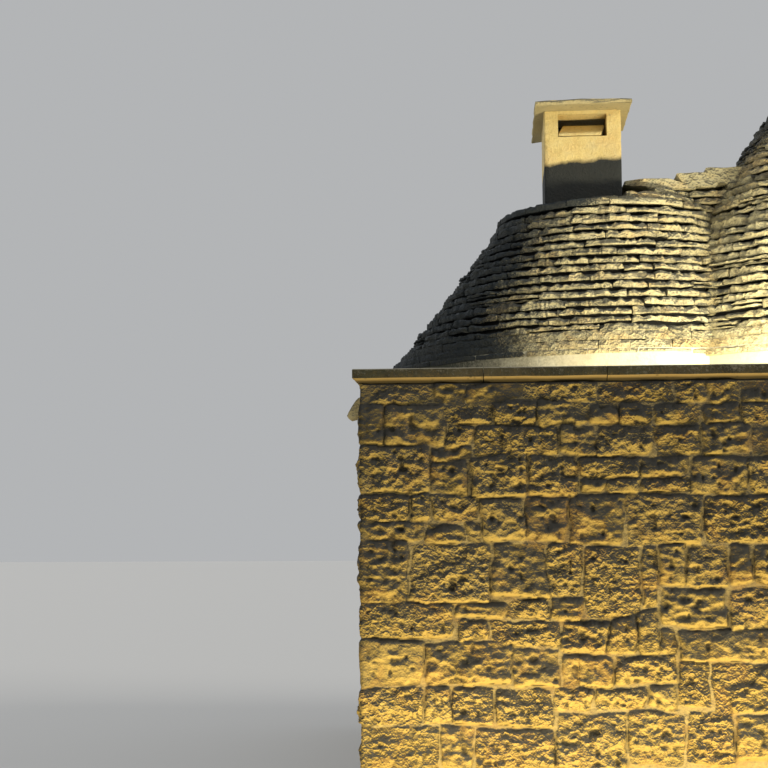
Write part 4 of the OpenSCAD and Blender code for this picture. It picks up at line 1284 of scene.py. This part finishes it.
def plaster_tube(B, x0, x1, y0, y1, z0, z1, tx, ty, cell, seed, slot=None):
    """Square flue with plastered, slightly uneven walls; slot is (xa, xb, za, zb) through front and back."""
    def axis_stops(a, b, t, extra=()):
        pts = [a, a + 0.012, a + t, b - t, b - 0.012, b] + [e for e in extra]
        pts = sorted(set(round(p, 5) for p in pts))
        out = [pts[0]]
        for p in pts[1:]:
            n = max(1, int(round((p - out[-1]) / cell)))
            out.extend(list(np.linspace(out[-1], p, n + 1)[1:]))
        return np.array(out)
    xs = axis_stops(x0, x1, tx, slot[:2] if slot else ())
    ys = axis_stops(y0, y1, ty)
    zp = sorted(set([z0, z1] + (list(slot[2:]) if slot else [])))
    zs = [zp[0]]
    for p in zp[1:]:
        n = max(1, int(round((p - zs[-1]) / cell)))
        zs.extend(list(np.linspace(zs[-1], p, n + 1)[1:]))
    zs = np.array(zs)
    mx, my, mz = (xs[1:] + xs[:-1]) / 2, (ys[1:] + ys[:-1]) / 2, (zs[1:] + zs[:-1]) / 2
    MX, MY, MZ = np.meshgrid(mx, my, mz, indexing="ij")
    solid = ~((MX > x0 + tx) & (MX < x1 - tx) & (MY > y0 + ty) & (MY < y1 - ty))
    if slot:
        solid &= ~((MX > slot[0]) & (MX < slot[1]) & (MZ > slot[2]) & (MZ < slot[3]))
    nx, ny, nz = solid.shape
    index, pts, F = {}, [], []

    def p(i, j, k):
        key = (i, j, k)
        if key not in index:
            index[key] = len(pts)
            pts.append(key)
        return index[key]
    pad = np.zeros((nx + 2, ny + 2, nz + 2), bool)
    pad[1:-1, 1:-1, 1:-1] = solid
    for i, j, k in np.argwhere(solid):
        if not pad[i, j + 1, k + 1]:
            F.append([p(i, j, k), p(i, j, k + 1), p(i, j + 1, k + 1), p(i, j + 1, k)])
        if not pad[i + 2, j + 1, k + 1]:
            F.append([p(i + 1, j, k), p(i + 1, j + 1, k), p(i + 1, j + 1, k + 1), p(i + 1, j, k + 1)])
        if not pad[i + 1, j, k + 1]:
            F.append([p(i, j, k), p(i + 1, j, k), p(i + 1, j, k + 1), p(i, j, k + 1)])
        if not pad[i + 1, j + 2, k + 1]:
            F.append([p(i, j + 1, k), p(i, j + 1, k + 1), p(i + 1, j + 1, k + 1), p(i + 1, j + 1, k)])
        if not pad[i + 1, j + 1, k]:
            F.append([p(i, j, k), p(i, j + 1, k), p(i + 1, j + 1, k), p(i + 1, j, k)])
        if not pad[i + 1, j + 1, k + 2]:
            F.append([p(i, j, k + 1), p(i + 1, j, k + 1), p(i + 1, j + 1, k + 1), p(i, j + 1, k + 1)])
    P = np.array(pts)
    co = np.stack([xs[P[:, 0]], ys[P[:, 1]], zs[P[:, 2]]], 1)
    on_x = (P[:, 0] == 0) | (P[:, 0] == nx)
    on_y = (P[:, 1] == 0) | (P[:, 1] == ny)
    sgx = np.where(P[:, 0] == 0, 1, -1)
    sgy = np.where(P[:, 1] == 0, 1, -1)
    lump = 0.003 * (1 + fbm(co[:, 0], co[:, 1], co[:, 2], 0.20, 3, seed))
    corner = np.where(on_x & on_y, 0.0045 + 0.0035 * vnoise(co[:, 0], co[:, 1], co[:, 2], 0.05, seed + 2), 0)
    co[:, 0] += np.where(on_x, sgx * (lump + corner), 0)
    co[:, 1] += np.where(on_y, sgy * (lump + corner), 0)
    if slot:
        near = (np.abs(co[:, 2] - slot[2]) < 1e-6) | (np.abs(co[:, 2] - slot[3]) < 1e-6)
        inside_x = (co[:, 0] > slot[0] + 1e-4) & (co[:, 0] < slot[1] - 1e-4)
        co[:, 2] += np.where(near & inside_x, 0.003 * vnoise(co[:, 0], co[:, 1], co[:, 2], 0.06, seed + 5), 0)
    # painted shade inside the flue
    hollow = (co[:, 0] > x0 + tx - 1e-6) & (co[:, 0] < x1 - tx + 1e-6) & (co[:, 1] > y0 + ty - 1e-6) & (co[:, 1] < y1 - ty + 1e-6)
    B.add(co, F, 0.5, np.where(hollow, 0.9, 0.0))


B = Build()
plaster_tube(B, SX0, SX1, SY0, SY1, Z_TOP, Z_HEAD, 0.096, 0.160, 0.028, 200)
plaster_tube(B, SX0, SX1, SY0, SY1, Z_HEAD, Z_CAP, 0.096, 0.160, 0.022, 204, slot=(SX0 + 0.098, SX1 - 0.098, Z_HEAD + 0.02, Z_HEAD + 0.175))
# flat stone lying aslant in the front slot, and one in the back slot
for sign, seed in ((-1, 240), (1, 241)):
    co, quads = rough_box(0.0, 0.288, 0.0, 0.150, 0.0, 0.022, cell=0.022, edge=0.006, wear=0.003, rough=0.0012, seed=seed)
    v = co[:, 1] / 0.150
    y0 = SY0 + 0.006 if sign < 0 else SY1 - 0.006
    co = np.stack([SX0 + 0.100 + co[:, 0] + 0.034 * v, y0 - sign * co[:, 1], Z_HEAD + 0.022 + co[:, 2] + 0.094 * v], 1)
    if sign > 0:
        quads = [q[::-1] for q in quads]
    B.add(co, quads, 0.8)
B.object("chimney_plastered", M_PLASTER, replaces=("chimney_stack", "chimney_head"), angle=50)
B = Build()
co, quads = rough_box(0.0, 1.0, 0.0, 1.0, 0.0, 0.038, cell=0.036, edge=0.012, wear=0.0, rough=0.0, seed=230)
u, v, h = co[:, 0].copy(), co[:, 1].copy(), co[:, 2].copy()
low_edge = np.array([1.018, 1.605]) * (1 - u[:, None]) + np.array([1.672, 1.590]) * u[:, None]
high_edge = np.array([1.014, 2.640]) * (1 - u[:, None]) + np.array([1.668, 2.340]) * u[:, None]
xy = low_edge * (1 - v[:, None]) + high_edge * v[:, None]
inx, iny = np.sign(0.5 - u), np.sign(0.5 - v)
on_u, on_v = (u < 1e-6) | (u > 1 - 1e-6), (v < 1e-6) | (v > 1 - 1e-6)
wear = 0.005 + 0.004 * vnoise(xy[:, 0], xy[:, 1], h * 4, 0.05, 231) + 0.003 * vnoise(xy[:, 0], xy[:, 1], h * 4, 0.13, 232)
thick_edge = ((h < 1e-6) | (h > 0.038 - 1e-6)) & (on_u | on_v)
xy[:, 0] += np.where(on_u, inx * (wear + np.where(thick_edge, 0.004, 0)), 0)
xy[:, 1] += np.where(on_v, iny * (wear + np.where(thick_edge, 0.004, 0)), 0)
dome = 0.010 * (1 - (2 * u - 0.95) ** 2) - 0.010
top_z = 0.038 + dome - 0.002 + 0.0025 * vnoise(xy[:, 0], xy[:, 1], 0, 0.07, 233) - np.where(thick_edge, 0.004, 0)
bot_z = 0.0012 * (1 + vnoise(xy[:, 0], xy[:, 1], 0, 0.09, 234)) + np.where(thick_edge, 0.003, 0)
f = h / 0.038
co = np.stack([xy[:, 0], xy[:, 1], Z_CAP + bot_z * (1 - f) + np.minimum(top_z, 0.0378) * f], 1)
B.add(co, quads, 0.5)
B.object("chimney_cap_slab", M_CAP, replaces=("chimney_cap",), angle=45)

# ---------------------------------------------------------------- pinnacle
B = Build()
zp = Z_TIP
prof = [(0.0, 0.0), (0.124, 0.0), (0.121, 0.02), (0.104, 0.07), (0.088, 0.12), (0.080, 0.146), (0.088, 0.150), (0.131, 0.151),
        (0.138, 0.158), (0.138, 0.180), (0.131, 0.188), (0.060, 0.191), (0.052, 0.200), (0.050, 0.222), (0.056, 0.236)]
for i in range(1, 15):
    t = math.pi * i / 14.0
    r_, z_ = 0.094 * math.sin(t), 0.320 - 0.094 * math.cos(t)
    if z_ > 0.240:
        prof.append((max(r_, 0.0), z_))
na = 64
a = np.linspace(0, 2 * math.pi, na, endpoint=False)
V, F = [], []
rings = [p for p in prof if p[0] > 1e-4]
for r_, z_ in rings:
    rr = r_ * (1 + 0.020 * vnoise(np.cos(a), np.sin(a), z_ * 5, 0.5, 400)) - 0.001
    V.append(np.stack([MAIN_X + rr * np.cos(a), CY + rr * np.sin(a), np.full(na, zp + z_)], 1))
V = np.concatenate(V)
m = len(rings)
for k in range(m - 1):
    for j in range(na):
        q = (j + 1) % na
        F.append([k * na + j, k * na + q, (k + 1) * na + q, (k + 1) * na + j])
bottom, top = len(V), len(V) + 1
V = np.concatenate([V, [[MAIN_X, CY, zp], [MAIN_X, CY, zp + 0.4135]]])
for j in range(na):
    q = (j + 1) % na
    F.append([q, j, bottom])
    F.append([(m - 1) * na + j, (m - 1) * na + q, top])
B.add(V, F, 0.7)
B.object("pinnacle_stone", M_DRESSED, replaces=("pinnacle",), angle=35)

# ---------------------------------------------------------------- rain spout
B = Build()
SPY0, SPY1 = 0.72, 0.88
xs = np.concatenate([np.linspace(-0.158, 0.02, 18), [0.12, 0.25, 0.40]])
TOP_LINE = ((-0.158, 2.282), (-0.150, 2.300), (-0.128, 2.336), (-0.100, 2.374), (-0.080, 2.391), (0.40, 2.392))
LOW_LINE = ((-0.158, 2.276), (-0.150, 2.262), (-0.138, 2.254), (-0.080, 2.270), (0.0, 2.296), (0.40, 2.300))
V, F, cv = [], [], []
half, ch = 0.079, 0.040
m = 12
for x in xs:
    z1_ = float(np.interp(x, [p[0] for p in TOP_LINE], [p[1] for p in TOP_LINE]))
    z0_ = float(np.interp(x, [p[0] for p in LOW_LINE], [p[1] for p in LOW_LINE]))
    zc = min(z1_ - 0.004, max(z0_ + 0.012, WALL_H - 0.073))
    e = min(0.012, 0.3 * (z1_ - z0_))
    sec = [(-half + 0.012, z0_), (half - 0.012, z0_), (half, z0_ + e), (half, z1_ - 0.5 * e), (half - 0.005, z1_), (ch, z1_),
           (ch - 0.004, zc), (-ch + 0.004, zc), (-ch, z1_), (-half + 0.005, z1_), (-half, z1_ - 0.5 * e), (-half, z0_ + e)]
    for yy, zz in sec:
        V.append((x, (SPY0 + SPY1) / 2 + yy * (1 - 0.22 * max(0.0, 1 - (x + 0.158) / 0.05)), zz))
        # painted shade in the spout's channel
        cv.append(0.6 if abs(yy) < ch - 0.001 and zz > z0_ + 0.01 else 0.0)
for j in range(len(xs) - 1):
    for q in range(m):
        p_ = (q + 1) % m
        F.append([(j + 1) * m + q, (j + 1) * m + p_, j * m + p_, j * m + q])
F.append([q for q in range(m)])
F.append([(len(xs) - 1) * m + q for q in range(m)][::-1])
V = np.array(V)
V += 0.0014 * np.stack([vnoise(V[:, 0], V[:, 1], V[:, 2], 0.04, 600 + i) for i in range(3)], 1)
V[:, 0] = np.maximum(V[:, 0], -0.1645)
V[:, 2] = np.minimum(V[:, 2], WALL_H - 0.001)
B.add(V, F, 0.6, np.array(cv))
B.object("rain_spout_stone", M_CAP, replaces=("rain_spout",), angle=40)

# ---------------------------------------------------------------- doorway
DX0, DX1, DH = 2.870, 3.820, 1.950
B = Build()
rng = np.random.default_rng(55)
for side, (xa, xb) in enumerate(((DX0 - 0.18, DX0), (DX1, DX1 + 0.18))):
    z = 0.0
    for i, h in enumerate((0.52, 0.40, 0.55, 0.48) if side == 0 else (0.44, 0.52, 0.45, 0.54)):
        co, quads = rough_box(xa, xb, -0.020, 0.270, z + 0.002, z + h - 0.002, cell=0.04, edge=0.010, wear=0.004, rough=0.0012,
                              seed=500 + 10 * side + i)
        B.add(co, quads, rng.uniform(0.2, 0.9))
        z += h
B.object("door_jamb_stones", M_DRESSED, replaces=("door_jamb_left", "door_jamb_right"), angle=45)
B = Build()
co, quads = rough_box(DX0 - 0.18, DX1 + 0.18, -0.020, 0.270, DH + 0.002, DH + 0.220, cell=0.04, edge=0.012, wear=0.005, rough=0.0015, seed=540)
B.add(co, quads, 0.55)
B.object("door_lintel_stone", M_DRESSED, replaces=("door_lintel",), angle=45)
B = Build()
for i, (xa, xb) in enumerate(((DX0, 3.33), (3.334, DX1))):
    co, quads = rough_box(xa + 0.001, xb - 0.001, 0.002, 0.700, 0.0, 0.080, cell=0.04, edge=0.014, wear=0.006, rough=0.0012, seed=550 + i)
    co[:, 2] -= np.where(co[:, 2] > 0.05, 0.006 * np.exp(-((co[:, 0] - 3.345) / 0.25) ** 2), 0)
    B.add(co, quads, 0.4 + 0.2 * i, 0.1)
B.object("door_sill_stones", M_FLOOR, replaces=("door_sill",), angle=45)

# ---------------------------------------------------------------- floor inside
B = Build()
rng = np.random.default_rng(61)
y = 0.70
while y < 3.70 - 0.01:
    h = rng.uniform(0.34, 0.52)
    if 3.70 - y - h < 0.22:
        h = 3.70 - y
    x = 1.85
    while x < 4.84 - 0.01:
        w = rng.uniform(0.36, 0.70)
        if 4.84 - x - w < 0.24:
            w = 4.84 - x
        co, quads = rough_box(x + 0.003, x + w - 0.003, y + 0.003, y + h - 0.003, 0.004, 0.060, cell=0.11, edge=0.010, wear=0.004,
                              rough=0.0009, seed=int(900 * x + 37 * y))
        B.add(co, quads, rng.uniform(0, 1), 0.05)
        x += w
    y += h
for i in range(4):
    co, quads = rough_box(1.353, 1.847, 1.203 + 0.5 * i, 1.697 + 0.5 * i, 0.004, 0.060, cell=0.11, edge=0.010, wear=0.004, rough=0.0009, seed=80 + i)
    B.add(co, quads, rng.uniform(0, 1), 0.05)
# base slabs under the paving, with painted shade showing in the gaps between the pavers
co, quads = rough_box(1.352, 4.838, 1.202, 3.198, 0.0, 0.050, cell=0.5, seed=85)
B.add(co, quads, 0.2, 0.8, 1.0)
co, quads = rough_box(1.852, 4.838, 0.702, 3.698, 0.0, 0.0495, cell=0.5, seed=86)
B.add(co, quads, 0.2, 0.8, 1.0)
B.object("floor_paving", M_FLOOR, replaces=("room_floor",), angle=45)
B = Build()
for i in range(3):
    co, quads = rough_box(0.702, 1.348, 1.203 + 1.9947 / 3 * i, 1.197 + 1.9947 / 3 * (i + 1), 0.0, 0.110, cell=0.06, edge=0.012, wear=0.006,
                          rough=0.002, seed=95 + i)
    B.add(co, quads, 0.3 + 0.2 * i, 0.1)
B.object("hearth_stones", M_FLOOR, replaces=("hearth_slab",), angle=45)

# ---------------------------------------------------------------- CAD pieces that stay
KEEP = {
    "wall": ("front_wall_left", "front_wall_right", "front_wall_over_door", "back_wall", "left_wall", "right_wall",
             "alcove_front_block", "alcove_back_block", "arch_pier_front", "arch_pier_back", "hearth_arch", "main_dome"),
    "soot": ("smoke_hood", "flue_slab"),
    "dressed": ("dome_capstone",),
    "deck": ("roof_bed_main", "roof_bed_alcove"),
    "band": ("main_roof_band", "small_roof_band"),
}
FINISH = {"wall": M_INNER, "soot": M_SOOT, "dressed": M_DRESSED_CAD, "deck": M_DECK_CAD, "band": M_INNER}
for kind, names in KEEP.items():
    for n in names:
        ob = frame["nodes"][n]
        ob.data.materials.clear()
        ob.data.materials.append(FINISH[kind])

# ---------------------------------------------------------------- floor, light, camera
mesh = bpy.data.meshes.new("studio_floor")
R_FLOOR = 90.0
mesh.from_pydata([(-R_FLOOR, -R_FLOOR, -0.001), (R_FLOOR, -R_FLOOR, -0.001), (R_FLOOR, R_FLOOR, -0.001), (-R_FLOOR, R_FLOOR, -0.001)], [], [(0, 1, 2, 3)])
floor = bpy.data.objects.new("studio_floor", mesh)
bpy.context.scene.collection.objects.link(floor)
m, nt, b = nodes_of("studio_floor_pale")
b.inputs["Base Color"].default_value = (0.62, 0.615, 0.60, 1)
b.inputs["Roughness"].default_value = 0.95
b.inputs["Specular IOR Level"].default_value = 0.1
mesh.materials.append(m)

world = bpy.data.worlds.new("studio")
bpy.context.scene.world = world
world.use_nodes = True
bg = world.node_tree.nodes["Background"]
bg.inputs[0].default_value = (0.96, 0.98, 1.0, 1)
bg.inputs[1].default_value = 0.47


def lamp(name, kind, at, to, power, color=(1, 1, 1)):
    data = bpy.data.lights.new(name, kind)
    data.energy = power
    data.color = color
    ob = bpy.data.objects.new(name, data)
    bpy.context.scene.collection.objects.link(ob)
    ob.location = (at[0] - OX, at[1] - OY, at[2])
    d = Vector((to[0] - at[0], to[1] - at[1], to[2] - at[2]))
    ob.rotation_euler = d.to_track_quat("-Z", "Y").to_euler()
    return ob


key = lamp("key", "SUN", (11.0, -3.6, 6.4), (2.0, 0.8, 2.2), 1.2, (1.0, 0.95, 0.86))
key.data.angle = math.radians(25)
back = lamp("back", "SUN", (-3.0, 12.0, 8.0), (2.7, 2.2, 2.0), 1.1, (0.95, 0.97, 1.0))
back.data.angle = math.radians(35)


def strip(name, at, to, long_side, short_side, power, color):
    ob = lamp(name, "AREA", at, to, power, color)
    ob.data.shape = "RECTANGLE"
    ob.data.size, ob.data.size_y = long_side, short_side
    ob.visible_camera = False
    return ob


low_strip = strip("low", (2.4, -0.80, 0.14), (2.4, 0.0, 1.15), 5.6, 0.25, 105, (1.0, 0.84, 0.54))
eaves_strip = strip("eaves", (2.85, -0.50, 2.60), (2.45, 1.00, 3.45), 1.8, 0.20, 102, (1.0, 0.91, 0.66))


def spare(light, names):
    """The light leaves the named objects alone."""
    group = bpy.data.collections.new("spared_by_" + light.name)
    for n in names:
        group.objects.link(bpy.data.objects[n])
    light.light_linking.receiver_collection = group
    for c in group.collection_objects:
        c.light_linking.link_state = "EXCLUDE"


# the floor stays plain, and the strip at the eaves lights only the roofs and the chimney
spare(low_strip, ["studio_floor"])
spare(eaves_strip, ["studio_floor", "cornice_slabs", "deck_paving"] + [o.name for o in bpy.data.objects if o.name.startswith("wall_stones")])

ya, pi_, ro = math.radians(4.44), math.radians(5.67), math.radians(0.30)
fw = Vector((-math.sin(ya) * math.cos(pi_), math.cos(ya) * math.cos(pi_), math.sin(pi_)))
rt = Vector((math.cos(ya), math.sin(ya), 0))
up = rt.cross(fw)
r2 = rt * math.cos(ro) - up * math.sin(ro)
u2 = rt * math.sin(ro) + up * math.cos(ro)
cam_data = bpy.data.cameras.new("camera")
cam_data.sensor_fit = "HORIZONTAL"
cam_data.sensor_width = 36.0
cam_data.lens = 36.0 * 1538.0 / 768.0
cam_data.clip_end = 400
cam = bpy.data.objects.new("camera", cam_data)
bpy.context.scene.collection.objects.link(cam)
M = Matrix.Identity(4)
for i in range(3):
    M[i][0], M[i][1], M[i][2] = r2[i], u2[i], -fw[i]
M[0][3], M[1][3], M[2][3] = 0.785 - OX, -8.5 - OY, 1.55
cam.matrix_world = M
bpy.context.scene.camera = cam
bpy.context.scene.view_settings.view_transform = "Standard"
